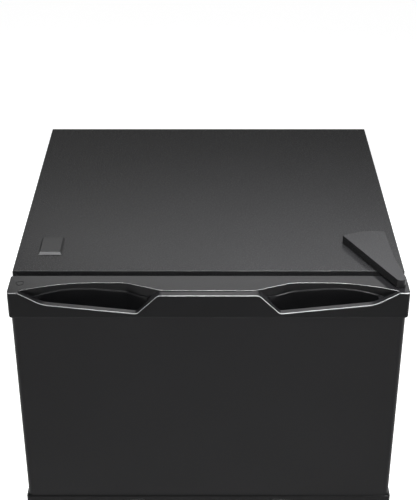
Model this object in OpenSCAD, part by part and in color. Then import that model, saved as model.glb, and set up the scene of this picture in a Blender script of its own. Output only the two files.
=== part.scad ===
// Freestanding refrigerator with a top freezer and two reversible doors.
// Millimetres, +Z up, front towards -Y. The origin is on the floor, in the middle of the outline.
// Inside the modules y runs backwards from the cabinet's front face, so doors have negative y.

/* [Cabinet] */
// Width of the cabinet and of the doors
cabinet_w = 700; // [640:5:760]
// Depth of the cabinet without the doors
cabinet_d = 620; // [590:5:680]
// Height of the cabinet's top above the floor
cabinet_h = 1780; // [1740:5:1900]
// Thickness of the steel wrap that makes the sides and the top
wrap_t = 1; // [0.8:0.1:1.2]
// Width of the wrap's flange round the front opening
flange_w = 18; // [14:1:22]
// Insulated wall at each side
side_wall = 50; // [46:1:56]
// Insulated wall at the back
back_wall = 60; // [50:1:66]
// Insulated wall at the top
top_wall = 60; // [52:1:66]
// Base pan's underside to the floor of the fresh food compartment
floor_wall = 60; // [52:1:66]
// Insulated divider between the two compartments
mullion_h = 88; // [84:1:100]
// Wall of the plastic liners
liner_t = 2; // [1.6:0.1:2.6]
// Corner radius inside the liners
liner_r = 12; // [8:1:15]
// Thickness of the steel back panel
back_t = 0.8; // [0.6:0.1:1.2]
// Depth of the beads pressed into the back panel
bead_d = 3; // [2:0.5:5]

/* [Base and machine room] */
// Height of the base pan's underside above the floor
base_z = 35; // [32:1:40]
// Sheet thickness of the base pan
base_t = 2; // [1.5:0.1:2.5]
// Depth of the machine room
room_d = 190; // [184:1:200]
// Height of the machine room's ceiling above the floor
room_top = 285; // [275:1:300]
// Insulation over and in front of the machine room
step_wall = 50; // [44:1:56]
// Radius of a levelling foot's pad
foot_r = 20; // [16:1:24]
// Radius of a rear roller
roller_r = 15; // [13:1:17]
// Radius of the compressor's shell
comp_r = 72; // [62:1:76]
// Height of the compressor's shell
comp_h = 160; // [140:1:175]

/* [Doors] */
// Thickness of a door
door_t = 58; // [54:1:64]
// Gap between the cabinet and the back of a door, filled by the gasket
door_gap = 15.4; // [13:0.2:18]
// Height of the freezer door
freezer_door_h = 510; // [470:5:540]
// Gap between the two doors
split_gap = 14; // [13:1:18]
// Height of the fresh food door's lower edge above the floor
door_z = 50; // [48:1:54]
// How far the doors' top lies below the cabinet's top
door_drop = 1; // [0.5:0.1:2]
// Sheet thickness of the doors' steel skin
skin_t = 0.8; // [0.6:0.1:1]
// Front corner radius of the steel skin
skin_r = 8; // [5:1:12]
// Thickness of the doors' inner liner
panel_t = 2.6; // [2.2:0.1:3]
// How far the raised frame on the inner liner reaches into the cabinet
dyke_in = 20; // [14:1:24]
// Width of the raised frame
dyke_w = 26; // [22:1:32]
// Distance of the gasket from the edge of the door
seal_inset = 17; // [16:1:20]
// Width of the gasket
seal_w = 16; // [14:1:18]

/* [Door end caps] */
// Height of an end cap
cap_h = 51.5; // [49:0.5:58]
// How far the cap stands out past the skin at each side
cap_side = 4; // [2:0.5:5]
// How far the cap stands out past the skin at the front
cap_front = 2; // [1:0.5:3]
// Chamfer along the edge of the cap that meets the skin
cap_chamfer = 3; // [2:0.5:3.5]
// How far the skin reaches up into the cap
cap_rebate = 6; // [5:0.5:8]
// Corner radius of the cap seen from above
cap_r = 5; // [3:0.5:7]
// Thickness of the front rim that the fingers pull on
rim_t = 8; // [6:0.5:10]
// How far the rim lies below the top between the scoops
rim_drop = 5.3; // [4:0.1:6]
// Outer end of a scoop to the side of the door
scoop_edge = 18.5; // [17:0.5:30]
// Inner end of a scoop to the middle of the door
scoop_mid = 81; // [70:1:95]
// Front of the door to the deepest point of a scoop's rear edge
scoop_back = 35; // [32:0.5:38]
// Lowest point of the rim below the top
scoop_low = 44; // [40:0.5:45]
// Depth of the finger pocket below the top
pocket_z = 62; // [56:1:68]
// Wall of the finger pocket's cup
cup_t = 2.5; // [2:0.1:3]

/* [Hinges] */
// Hinge pins' axis to the side of the cabinet
hinge_side = 15; // [14:0.5:17]
// Hinge pins' axis to the front of the doors
hinge_front = 26; // [25:0.5:28]
// Radius of the hinge pins
pin_r = 4; // [3.5:0.1:4.5]
// Radial play of the pins in the end caps
pin_play = 0.08; // [0.03:0.01:0.1]
// Length of a pin inside a door
pin_in = 26; // [20:1:32]
// Thickness of the hinge plates
plate_t = 3; // [2.5:0.1:4]
// Height of the hinge cover
cover_h = 15; // [13:0.5:20]
// Wall of the hinge cover
cover_t = 2; // [1.6:0.1:2.4]
// Height of the blanking plug on the left
plug_h = 4.5; // [3:0.5:6]

/* [Interior] */
// Cabinet's front face to the front of the shelves
shelf_y = 116; // [110:1:125]
// Thickness of the glass shelves
glass_t = 4; // [3:0.5:5]
// Height between two ledges for the shelves
ledge_pitch = 75; // [70:1:80]
// Width of a ledge
ledge_w = 8; // [6:0.5:10]
// Wall of the bins and drawers
bin_t = 2.5; // [2:0.1:3]
// How far the door bins reach into the cabinet
bin_in = 95; // [85:1:98]
// Height of a door bin
bin_h = 92; // [80:1:100]
// Height of the bottle bin
bottle_h = 120; // [100:1:140]
// Depth of the evaporator's room behind the freezer's air panel
air_room_d = 90; // [85:1:105]
// Radius of the evaporator fan
fan_r = 50; // [40:1:52]
// Height of the freezer shelf above the freezer's floor
freezer_shelf_up = 194; // [180:1:205]
// Height of the evaporator's fins
evap_h = 176; // [150:1:190]
// Height of the control box under the fresh food ceiling
box_h = 38; // [34:1:44]

/* [Hidden] */
$fn = 48;
// Clearance between soft or moving faces, clearance of a push fit, radial clearance of a shaft that
// turns in its bore, and an overlap for clean cuts
clear = 0.3;
fit = 0.1;
running = 0.06;
eps = 1;
half_w = cabinet_w / 2;
door_back = -door_gap;
door_front = -door_gap - door_t;
overall_d = cabinet_d + door_gap + door_t;
cab_y = door_gap + door_t - overall_d / 2;
base_top = base_z + base_t;
wrap_r = 2;

// Compartments
in_half = half_w - side_wall;
in_back = cabinet_d - back_wall;
air_y = in_back - air_room_d;
door_top = cabinet_h - door_drop;
freezer_door_z = door_top - freezer_door_h;
fridge_door_top = freezer_door_z - split_gap;
split_mid = freezer_door_z - split_gap / 2;
freezer_floor = split_mid + mullion_h / 2;
freezer_ceiling = cabinet_h - top_wall;
fridge_floor = base_z + floor_wall;
fridge_ceiling = split_mid - mullion_h / 2;
room_y = cabinet_d - room_d;
step_y = room_y - step_wall;
step_z = room_top + step_wall;
room_side = 16;
room_half = half_w - room_side;
lip = 10;
bar_h = 28;
bar_top = base_z + bar_h;
bead_half = 20;
bead_slope = 6;
mitre_w = 0.8;

// Hinge axis, and the pins' ends
hinge_x = half_w - hinge_side;
hinge_y = door_front + hinge_front;
bore_r = pin_r + pin_play;
collar_r = 7;
mid_plate_t = 4;
hinge_foot_w = 86;

// Shelves and ledges
ledge_t = 5;
shelf_room = 120;
first_ledge = step_z + liner_r + ledge_t;
ledge_count = floor((fridge_ceiling - shelf_room - first_ledge) / ledge_pitch) + 1;
shelf_ledges = [for (i = [0 : 3]) round(i * (ledge_count - 1) / 3)];
function shelf_level(i) = first_ledge + shelf_ledges[i] * ledge_pitch;
shelf_back_gap = 30;
shelf_back = in_back - shelf_back_gap;
ledge_front = 14;
ledge_rear = 12;
freezer_shelf_z = freezer_floor + freezer_shelf_up;
rail_wire_r = 3;

// Doors' raised frames, and the bins that hang between their sides
dyke_gap = 12;
skin_end = cap_h - cap_rebate;
hem_w = 6;
hem_half = half_w - cap_side - hem_w;
dyke_half = in_half - dyke_gap;
bin_side_gap = 5.5;
bin_back_gap = 3;
bin_half = dyke_half - dyke_w - bin_side_gap;
bin_back = door_back + bin_back_gap;
low_bin_gap = 4;
high_bin_up = 216;
freezer_bins = [freezer_floor + dyke_gap + dyke_w + low_bin_gap, freezer_floor + high_bin_up];
bottle_up = 12;
dairy_down = 159;
bottle_z = step_z + bottle_up;
dairy_z = fridge_ceiling - dairy_down - bin_h;
bin_pitch = (dairy_z - bottle_z - bottle_h + bin_h) / 3;
fridge_bins = [bottle_z, dairy_z - 2 * bin_pitch, dairy_z - bin_pitch, dairy_z];
lug_up = 40;
lug_h = 18;
lug_in = 5;
lug_d = 14;

charcoal = [0.13, 0.13, 0.135];
graphite = [0.2, 0.2, 0.205];
liner_white = [0.9, 0.91, 0.92];
foam_cream = [0.86, 0.82, 0.66];
steel = [0.66, 0.67, 0.69];

// General shapes

// Block between two corners
module block(lo, hi) { translate(lo) cube(hi - lo); }

// Extrudes an outline drawn in x and z, from y0 to y1
module along_y(y0, y1) { translate([0, y1, 0]) rotate([90, 0, 0]) linear_extrude(y1 - y0) children(); }

// Extrudes an outline drawn in y and z, from x0 to x1
module along_x(x0, x1) { translate([x0, 0, 0]) rotate([90, 0, 90]) linear_extrude(x1 - x0) children(); }

// Copies to both sides of the middle plane
module both_sides() { children(); mirror([1, 0, 0]) children(); }

// Rectangle between two corners, with round corners
module round_rect(lo, hi, r) {
    translate([lo.x + r, lo.y]) square([hi.x - lo.x - 2 * r, hi.y - lo.y]);
    translate([lo.x, lo.y + r]) square([hi.x - lo.x, hi.y - lo.y - 2 * r]);
    for (x = [lo.x + r, hi.x - r], y = [lo.y + r, hi.y - r]) translate([x, y]) circle(r);
}

// Rectangle whose two corners at low y are round
module front_round_rect(lo, hi, r) {
    translate([lo.x + r, lo.y]) square([hi.x - lo.x - 2 * r, hi.y - lo.y]);
    translate([lo.x, lo.y + r]) square([hi.x - lo.x, hi.y - lo.y - r]);
    for (x = [lo.x + r, hi.x - r]) translate([x, lo.y + r]) circle(r);
}

// Open-topped box with a wall and round upright edges
module tub(lo, hi, t, r) {
    difference() {
        translate([0, 0, lo.z]) linear_extrude(hi.z - lo.z) round_rect([lo.x, lo.y], [hi.x, hi.y], r);
        translate([0, 0, lo.z + t]) linear_extrude(hi.z - lo.z)
            round_rect([lo.x + t, lo.y + t], [hi.x - t, hi.y - t], r - t);
    }
}

function unit(v) = v / norm(v);
// Turn from angle a to angle b, in degrees, from -180 to 180
function turn(a, b) = let (d = b - a) d > 180 ? d - 360 : d < -180 ? d + 360 : d;
// Points of the arc of radius r that rounds the corner b of the path a, b, c
function fillet(a, b, c, r, n = 6) =
    let (u = unit(a - b), v = unit(c - b), half = acos(u * v) / 2,
         centre = b + unit(u + v) * r / sin(half),
         p = b + u * r / tan(half) - centre, q = b + v * r / tan(half) - centre,
         from = atan2(p.y, p.x), sweep = turn(from, atan2(q.y, q.x)))
    [for (i = [0 : n]) centre + r * [cos(from + sweep * i / n), sin(from + sweep * i / n)]];
function mirrored(points) = [for (i = [len(points) - 1 : -1 : 0]) [-points[i].x, points[i].y]];

// Cabinet

module liner_mouth(z0, z1, grow) {
    round_rect([-in_half - grow, z0 - grow], [in_half + grow, z1 + grow], liner_r + grow);
}

module freezer_room(grow, y0) {
    along_y(y0, in_back + grow) liner_mouth(freezer_floor, freezer_ceiling, grow);
}

// Fresh food compartment, whose floor steps up over the machine room
module fridge_room(grow, y0) {
    along_y(y0, step_y + grow) liner_mouth(fridge_floor, fridge_ceiling, grow);
    along_y(y0, in_back + grow) liner_mouth(step_z, fridge_ceiling, grow);
}

// Beads of the back panel, seen from above
module beads(grow) {
    foot = bead_half + bead_slope;
    for (x = [-half_w / 2, 0, half_w / 2]) translate([x, 0])
        polygon([[-foot - grow, cabinet_d + eps], [-foot - grow, cabinet_d],
                 [-bead_half - grow, cabinet_d - bead_d - grow], [bead_half + grow, cabinet_d - bead_d - grow],
                 [foot + grow, cabinet_d], [foot + grow, cabinet_d + eps]]);
}

// U-shaped steel sheet with a flange turned in round the front, mitred at its upper corners
module cabinet_wrap() {
    color(graphite) difference() {
        along_y(0, cabinet_d) {
            translate([-half_w, base_z]) square([cabinet_w, cabinet_h - base_z - wrap_r]);
            translate([-half_w + wrap_r, base_z]) square([cabinet_w - 2 * wrap_r, cabinet_h - base_z]);
            for (x = [-half_w + wrap_r, half_w - wrap_r]) translate([x, cabinet_h - wrap_r]) circle(wrap_r);
        }
        block([-half_w + wrap_t, wrap_t, base_z - eps], [half_w - wrap_t, cabinet_d + eps, cabinet_h - wrap_t]);
        block([-half_w + flange_w, -eps, base_z - eps], [half_w - flange_w, cabinet_d, cabinet_h - flange_w]);
        both_sides() translate([half_w - flange_w, 0, cabinet_h - flange_w]) rotate([0, -45, 0])
            block([-eps, -eps, -mitre_w / 2], [flange_w * 1.2, wrap_t + eps, mitre_w / 2]);
    }
}

module cabinet_foam() {
    color(foam_cream) difference() {
        block([-half_w + wrap_t, wrap_t, base_top], [half_w - wrap_t, cabinet_d - back_t, cabinet_h - wrap_t]);
        freezer_room(liner_t, -eps);
        fridge_room(liner_t, -eps);
        block([-half_w + flange_w, 0, base_z], [half_w - flange_w, liner_t, cabinet_h - flange_w]);
        block([-room_half, room_y, 0], [room_half, cabinet_d, room_top]);
        translate([0, 0, room_top - eps]) linear_extrude(cabinet_h) beads(back_t);
    }
}

// Ledges that carry a shelf, on both side walls of a liner
module ledge(z) {
    both_sides() block([in_half - ledge_w, shelf_y + ledge_front, z - ledge_t],
                       [in_half + liner_t / 2, shelf_back - ledge_rear, z]);
}

module freezer_liner() {
    color(liner_white) {
        difference() {
            union() {
                freezer_room(liner_t, 0);
                block([-half_w + flange_w, 0, freezer_floor - lip],
                      [half_w - flange_w, liner_t, cabinet_h - flange_w]);
            }
            freezer_room(0, -eps);
        }
        both_sides() block([in_half - ledge_w, shelf_y + ledge_front, freezer_shelf_z - rail_wire_r - ledge_t],
                           [in_half + liner_t / 2, air_y - ledge_rear, freezer_shelf_z - rail_wire_r]);
    }
}

module fridge_liner() {
    color(liner_white) {
        difference() {
            union() {
                fridge_room(liner_t, 0);
                block([-half_w + flange_w, 0, bar_top], [half_w - flange_w, liner_t, fridge_ceiling + lip]);
            }
            fridge_room(0, -eps);
        }
        for (i = [0 : ledge_count - 1]) ledge(first_ledge + i * ledge_pitch);
    }
}

module back_panel() {
    color(steel) translate([0, 0, room_top]) linear_extrude(cabinet_h - wrap_t - room_top) difference() {
        intersection() {
            union() {
                translate([-half_w + wrap_t, cabinet_d - back_t]) square([cabinet_w - 2 * wrap_t, back_t]);
                beads(back_t);
            }
            translate([-half_w, 0]) square([cabinet_w, cabinet_d]);
        }
        beads(0);
    }
}

// Divider's front trim between the two compartments
module mullion_rail() {
    color(charcoal)
        block([-half_w + flange_w, 0, fridge_ceiling + lip], [half_w - flange_w, liner_t, freezer_floor - lip]);
}

// Base and machine room

foot_side = 60;
foot_x = half_w - foot_side;
foot_y = 62;
foot_pad_h = 9;
foot_hex_h = 3;
stud_r = 5;
boss_t = 4;
boss_h = 10;
roller_side = 80;
roller_back = 60;
roller_x = half_w - roller_side;
roller_y = cabinet_d - roller_back;
roller_w = 20;
axle_r = 3;
cheek_t = 3;
cheek_half = 15;
cheek_r = 9;
cheek_x = roller_w / 2 + 1;
pan_back_gap = 2;

module base_pan() {
    color(steel) difference() {
        union() {
            block([-half_w + wrap_t, wrap_t, base_z], [half_w - wrap_t, cabinet_d - pan_back_gap, base_top]);
            block([-half_w + flange_w, 0, base_z], [half_w - flange_w, liner_t, bar_top]);
            both_sides() translate([foot_x, foot_y, base_z - boss_h])
                cylinder(r = stud_r + boss_t, h = boss_h + base_t);
            both_sides() for (s = [-1, 1]) translate([roller_x + s * (cheek_x + cheek_t / 2), roller_y, 0])
                along_x(-cheek_t / 2, cheek_t / 2) {
                    translate([-cheek_half, roller_r]) square([2 * cheek_half, base_z - roller_r + base_t / 2]);
                    translate([0, roller_r]) circle(cheek_r);
                }
        }
        both_sides() translate([foot_x, foot_y, base_z - boss_h - eps])
            cylinder(r = stud_r + running, h = boss_h + base_t + 2 * eps);
        translate([0, roller_y, roller_r]) rotate([0, 90, 0])
            cylinder(r = axle_r + running, h = cabinet_w, center = true);
    }
}

// Pad and threaded stud of one levelling foot
module foot(x) {
    color(charcoal) translate([x, foot_y, 0]) {
        cylinder(r = foot_r, h = foot_pad_h - foot_hex_h);
        translate([0, 0, foot_pad_h - foot_hex_h]) cylinder(r = foot_r * 0.7, h = foot_hex_h, $fn = 6);
        cylinder(r = stud_r, h = base_z - 1);
    }
}

module rear_rollers() {
    color(charcoal) both_sides() translate([roller_x, roller_y, roller_r]) rotate([0, 90, 0]) {
        cylinder(r = roller_r, h = roller_w, center = true);
        cylinder(r = axle_r, h = 2 * (cheek_x + cheek_t) + 2, center = true);
    }
}

kick_y = 12;
kick_t = 2;
kick_z = 7;
kick_side = 10;
kick_return = 18;
slot_w = 12;
slot_pitch = 20;
slot_low = 6;
slot_high = 8;

// Toe grille under the cabinet, with a return along its top that seats under the base pan
module kick_plate() {
    half = half_w - kick_side;
    slots = floor((foot_x - foot_side) / slot_pitch);
    color(charcoal) difference() {
        union() {
            block([-half, kick_y, kick_z], [half, kick_y + kick_t, base_z]);
            block([-half, kick_y, base_z - kick_t], [half, kick_y + kick_return, base_z]);
        }
        for (i = [-slots : slots])
            block([i * slot_pitch - slot_w / 2, kick_y - eps, kick_z + slot_low],
                  [i * slot_pitch + slot_w / 2, kick_y + kick_t + eps, base_z - slot_high]);
    }
}

comp_shift = 25;
comp_x = -half_w / 2 + comp_shift;
comp_y = cabinet_d - room_d / 2;
grommet_h = 14;
grommet_r = 11;
grommet_waist_r = 8.5;
grommet_hole_r = 6;
grommet_cap_r = 8;
grommet_cap_h = 3;
strap_z = base_top + grommet_h;
strap_t = 3;
strap_edge = 12;
grommet_at = [comp_r + strap_edge, comp_r * 0.7];
shell_dome = [26, 34];
shell_foot_r = 18;
seam = 4;
seam_z = comp_h * 0.55;
terminals = [22, 46, 56];
terminals_up = 44;
terminals_sunk = 10;

// Points of a quarter of an ellipse with the half axes r.x and r.y round the centre c, from angle a
function quarter(c, r, a) = [for (i = [0 : 6]) c + [r.x * cos(a + 15 * i), r.y * sin(a + 15 * i)]];

// Pressed steel shell with a welded seam and a box over its terminals, on a strap with four holes
module compressor() {
    strap_half = grommet_at + [strap_edge, strap_edge];
    color(charcoal) translate([comp_x, comp_y, 0]) {
        translate([0, 0, strap_z + strap_t]) {
            rotate_extrude() polygon(concat(
                [[0, 0]], quarter([comp_r - shell_foot_r, shell_foot_r], [shell_foot_r, shell_foot_r], -90),
                [[comp_r, seam_z], [comp_r + seam, seam_z]],
                [[comp_r + seam, seam_z + seam], [comp_r, seam_z + seam]],
                quarter([comp_r - shell_dome.x, comp_h - shell_dome.y], shell_dome, 0), [[0, comp_h]]));
            along_x(-comp_r - terminals.x + terminals_sunk, -comp_r + terminals_sunk)
                round_rect([-terminals.y / 2, terminals_up],
                           [terminals.y / 2, terminals_up + terminals.z], seam);
        }
        difference() {
            translate([0, 0, strap_z]) linear_extrude(strap_t) round_rect(-strap_half, strap_half, strap_edge);
            for (x = [-1, 1], y = [-1, 1]) translate([x * grommet_at.x, y * grommet_at.y, strap_z - eps])
                cylinder(r = grommet_hole_r, h = strap_t + 2 * eps);
        }
    }
}

// Waisted rubber mount under each hole of the strap, with a neck through it and a cap on top
module compressor_grommets() {
    neck_r = grommet_hole_r - 2 * fit;
    waist = [0.36, 0.5, 0.64] * grommet_h;
    strap_top = grommet_h + strap_t;
    color([0.08, 0.08, 0.08]) for (x = [-1, 1], y = [-1, 1])
        translate([comp_x + x * grommet_at.x, comp_y + y * grommet_at.y, base_top]) rotate_extrude()
            polygon([[0, 0], [grommet_r, 0], [grommet_r, waist[0]], [grommet_waist_r, waist[1]],
                     [grommet_r, waist[2]], [grommet_r, grommet_h], [neck_r, grommet_h], [neck_r, strap_top],
                     [grommet_cap_r, strap_top], [grommet_cap_r, strap_top + grommet_cap_h],
                     [0, strap_top + grommet_cap_h]]);
}

coil_r = 3;
coil_x0 = 20;
coil_side = 90;
coil_x1 = half_w - coil_side;
coil_pitch = 30;
coil_rows = 6;
coil_up = 40;
coil_z = base_top + coil_up;
riser_r = 0.4 * coil_pitch;
drier_r = 8;
drier_h = 26;
comb_in = 40;
comb_half = 9;
comb_t = 2;

// U-bend of the condenser, on the side given
module coil_bend(side) {
    rotate([90, 0, 0]) rotate([0, 0, side > 0 ? -90 : 90]) rotate_extrude(angle = 180)
        translate([coil_pitch / 2, 0]) circle(coil_r);
}

// Serpentine condenser tube on two combs that stand on the base pan. Its lower end comes from the
// compressor, and its upper end rises through the filter drier to the ceiling.
module condenser_coil() {
    coil_top = coil_z + (coil_rows - 1) * coil_pitch;
    color([0.1, 0.1, 0.1]) translate([0, comp_y, 0]) {
        translate([comp_x + comp_r + clear, 0, coil_z]) rotate([0, 90, 0])
            cylinder(r = coil_r, h = coil_x0 - comp_x - comp_r);
        translate([coil_x0, 0, coil_top + riser_r]) rotate([90, 0, 0]) rotate([0, 0, 180])
            rotate_extrude(angle = 90) translate([riser_r, 0]) circle(coil_r);
        translate([coil_x0 - riser_r, 0, coil_top + riser_r]) {
            cylinder(r = coil_r, h = room_top - clear - coil_top - riser_r);
            translate([0, 0, coil_r]) cylinder(r = drier_r, h = drier_h);
        }
        for (i = [0 : coil_rows - 1]) translate([coil_x0, 0, coil_z + i * coil_pitch]) rotate([0, 90, 0])
            cylinder(r = coil_r, h = coil_x1 - coil_x0);
        for (i = [0 : coil_rows - 2])
            translate([i % 2 == 0 ? coil_x1 : coil_x0, 0, coil_z + (i + 0.5) * coil_pitch])
                coil_bend(i % 2 == 0 ? 1 : -1);
        for (x = [coil_x0 + comb_in, coil_x1 - comb_in])
            block([x - comb_t / 2, -comb_half, base_top], [x + comb_t / 2, comb_half, coil_top + comb_half]);
    }
}

pan_h = 26;
pan_r = 14;
pan_front_gap = 22;
pan_rear_gap = 26;

// Tray on the compressor that evaporates the defrost water
module drain_pan() {
    z = strap_z + strap_t + comp_h + clear;
    color(charcoal)
        tub([comp_x - comp_r, room_y + pan_front_gap, z],
            [comp_x + comp_r, cabinet_d - pan_rear_gap, z + pan_h], bin_t, pan_r);
}

cover_set = 4;
cover_y = cabinet_d - cover_set;
cover_sheet = 1.5;
louvre_margin = 20;
louvre_columns = 5;
louvre_up = 36;
louvre_down = 34;
louvre_pitch = 16;
louvre_h = 7;
gland_side = 34;
gland_up = 16;
gland_x = room_half - gland_side;
gland_z = base_top + gland_up;
gland_r = 8;
gland_flange = 3;
gland_in = 8;
cord_r = 4.2;

// Louvred cover that closes the machine room at the back
module machine_room_cover() {
    column = 2 * (room_half - louvre_margin) / louvre_columns;
    first = (1 - louvre_columns) / 2;
    rear = cover_y + cover_sheet + eps;
    color(charcoal) difference() {
        block([-room_half + clear, cover_y, base_top + clear],
              [room_half - clear, cover_y + cover_sheet, room_top - clear]);
        for (i = [0 : louvre_columns - 1], z = [base_top + louvre_up : louvre_pitch : room_top - louvre_down])
            translate([(first + i) * column, 0, z])
                block([-0.4 * column, cover_y - eps, 0], [0.4 * column, rear, louvre_h]);
        translate([gland_x, 0, gland_z]) along_y(cover_y - eps, rear) circle(gland_r + fit);
    }
}

// Rubber gland for the power cord, snapped into the cover
module cord_gland() {
    color([0.08, 0.08, 0.08]) translate([gland_x, cover_y, gland_z]) rotate([-90, 0, 0]) rotate_extrude()
        polygon([[cord_r, -gland_in], [gland_r, -gland_in], [gland_r + gland_flange, -clear],
                 [gland_r, -clear], [gland_r, cover_sheet], [gland_r + gland_flange, cover_sheet],
                 [gland_r + gland_flange, cover_set], [cord_r, cover_set]]);
}

// Cold side

evap_gap = 18;
evap_y = air_y + evap_gap;
evap_up = 14;
evap_z = freezer_floor + evap_up;
evap_side = 90;
fin_t = 1.2;
fin_gaps = 12;
tube_r = 4;
tube_rows = 5;
tube_over = 12;
fan_down = 96;
fan_z = freezer_ceiling - fan_down;
shaft_r = 2;
motor_r = 20;
motor_y = evap_y + 34;
mount_t = 4;
mount_half = [46, 10];
hub_r = 14;
hub_half = 11;
blade_t = 1.6;
blade_half = 12;
blade_gap = 4;
blades = 5;
pitch_angle = 35;

// Finned coil behind the air panel, with its fins on the liner's back wall
module evaporator() {
    half = in_half - evap_side;
    color([0.75, 0.76, 0.78]) {
        for (i = [0 : fin_gaps]) translate([(2 * i / fin_gaps - 1) * half, 0, 0])
            block([-fin_t / 2, evap_y, evap_z], [fin_t / 2, in_back - clear, evap_z + evap_h]);
        for (y = [evap_y + evap_gap, in_back - evap_gap], i = [0 : tube_rows - 1])
            translate([-half - tube_over, y, evap_z + (i + 0.5) * evap_h / tube_rows]) rotate([0, 90, 0])
                cylinder(r = tube_r, h = 2 * (half + tube_over));
    }
}

module fan_motor() {
    color(charcoal) translate([0, 0, fan_z]) {
        along_y(motor_y, in_back - clear) circle(motor_r);
        along_y(evap_y, motor_y + eps) circle(shaft_r);
        along_y(in_back - mount_t, in_back - clear) round_rect(-mount_half, mount_half, mount_half.y - 2);
    }
}

// Five pitched blades on a hub
module evaporator_fan() {
    color(liner_white) translate([0, evap_y + hub_half + 1, fan_z]) difference() {
        union() {
            along_y(-hub_half, hub_half) circle(hub_r);
            for (i = [0 : blades - 1]) rotate([0, i * 360 / blades, 0]) rotate([0, 0, pitch_angle])
                block([-blade_half, -blade_t / 2, hub_r - blade_gap],
                      [blade_half, blade_t / 2, fan_r - blade_gap]);
        }
        along_y(-hub_half - eps, hub_half + eps) circle(shaft_r + running);
    }
}

air_panel_t = 3;
grille_pitch = 20;
grille_h = 12;
return_up = 22;
return_slot = [32, 10];
return_pitch = 44;
vent_x = [110, 220];
vent_h = 8;
vent_pitch = 18;

// Panel with the fan's round grille above, a vent at each side of it, and the return slots below
module freezer_air_panel() {
    rear = air_y + air_panel_t + eps;
    slots = floor((in_half - return_pitch) / return_pitch);
    color(liner_white) difference() {
        along_y(air_y, air_y + air_panel_t) round_rect([-in_half + clear, freezer_floor + clear],
                [in_half - clear, freezer_ceiling - clear], liner_r);
        translate([0, 0, fan_z]) for (i = [-2 : 2]) {
            w = sqrt(fan_r * fan_r - pow(i * grille_pitch, 2));
            translate([0, 0, i * grille_pitch])
                block([-w, air_y - eps, -grille_h / 2], [w, rear, grille_h / 2]);
        }
        for (i = [-slots : slots]) translate([i * return_pitch, 0, freezer_floor + return_up])
            block([-return_slot.x / 2, air_y - eps, 0], [return_slot.x / 2, rear, return_slot.y]);
        both_sides() for (i = [-1 : 1]) translate([0, 0, fan_z + i * vent_pitch - vent_h / 4])
            block([vent_x[0], air_y - eps, 0], [vent_x[1], rear, vent_h]);
    }
}

duct_half = 86;
duct_d = 22;
duct_r = 14;
duct_up = 53;
outlet_x = [24, 68];
outlet_h = 12;
outlet_d = 14;

// Moulded duct on the back wall, with pairs of outlets between the shelves
module fridge_air_duct() {
    front = in_back - duct_d;
    color(liner_white) difference() {
        along_y(front, in_back - clear)
            round_rect([-duct_half, shelf_level(0) + duct_up], [duct_half, fridge_ceiling - clear], duct_r);
        for (i = [0 : 2]) let (z = (shelf_level(i) + shelf_level(i + 1)) / 2) both_sides()
            block([outlet_x[0], front - eps, z - outlet_h / 2],
                  [outlet_x[1], front + outlet_d, z + outlet_h / 2]);
    }
}

// Interior fittings

wire_r = 1.6;
edge_wire_r = 2.4;
wire_up = 3.5;
wire_gaps = 18;
wire_side = 20;
rail_in = 20;
rail_end = 3;
edge_end = 12;

// Coated wire shelf of the freezer: thin wires on three cross rails, between two edge wires
module freezer_shelf() {
    y0 = shelf_y + 4;
    y1 = air_y - 6;
    half = in_half - wire_side;
    color([0.93, 0.94, 0.95]) translate([0, 0, freezer_shelf_z]) {
        for (y = [y0 + rail_in, (y0 + y1) / 2, y1 - rail_in]) translate([-in_half + rail_end, y, 0])
            rotate([0, 90, 0]) cylinder(r = rail_wire_r, h = 2 * (in_half - rail_end));
        for (i = [0 : wire_gaps]) translate([(2 * i / wire_gaps - 1) * half, 0, wire_up])
            along_y(y0, y1) circle(wire_r);
        for (y = [y0, y1]) translate([-in_half + edge_end, y, wire_up])
            rotate([0, 90, 0]) cylinder(r = edge_wire_r, h = 2 * (in_half - edge_end));
    }
}

trim_d = 12;
trim_lip = 3;
trim_wall = 3;
trim_up = 14;
shelf_half = in_half - 2;

module shelf_glass(i) {
    z = shelf_level(i);
    color([0.75, 0.88, 0.86, 0.5])
        block([-shelf_half, shelf_y + trim_wall, z], [shelf_half, shelf_back - trim_wall, z + glass_t]);
}

// Profiles of the front trim and of the rear trim with its upstand, over a glass sheet at height z
module trim_profiles(z) {
    top = z + glass_t;
    polygon([[shelf_y, z - trim_lip], [shelf_y + trim_d, z - trim_lip], [shelf_y + trim_d, top + 2],
             [shelf_y + trim_wall, top + 3.5], [shelf_y, top + 1]]);
    polygon([[shelf_back - trim_d + 2, top + 2], [shelf_back - trim_wall, top + 2],
             [shelf_back - trim_wall, top + trim_up], [shelf_back, top + trim_up],
             [shelf_back, z - trim_lip], [shelf_back - trim_d + 2, z - trim_lip]]);
}

// Trims that clip over the front and rear edges of the glass shelves
module shelf_trims() {
    color([0.8, 0.82, 0.84]) for (i = [0 : 3]) {
        z = shelf_level(i);
        difference() {
            along_x(-shelf_half, shelf_half) trim_profiles(z);
            block([-in_half, shelf_y + trim_wall - fit, z - fit],
                  [in_half, shelf_back - trim_wall + fit, z + glass_t + fit]);
        }
    }
}

box_half = 115;
box_d = 125;
box_set = 12;
box_slope = [24, 18];
box_y0 = shelf_y + box_set;
box_y1 = box_y0 + box_d;
lens_side = 18;
lens_y0 = box_y0 + 34;
lens_y1 = box_y1 - 30;
lens_t = 4;
lens_out = 2;
dial_x = 72;
dial_r = 17;
dial_t = 4;
dial_rib = [6, 8];
spindle_r = 5;
spindle_in = 18;
box_z = fridge_ceiling - box_h;
dial_z = box_z + box_h / 2;

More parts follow.
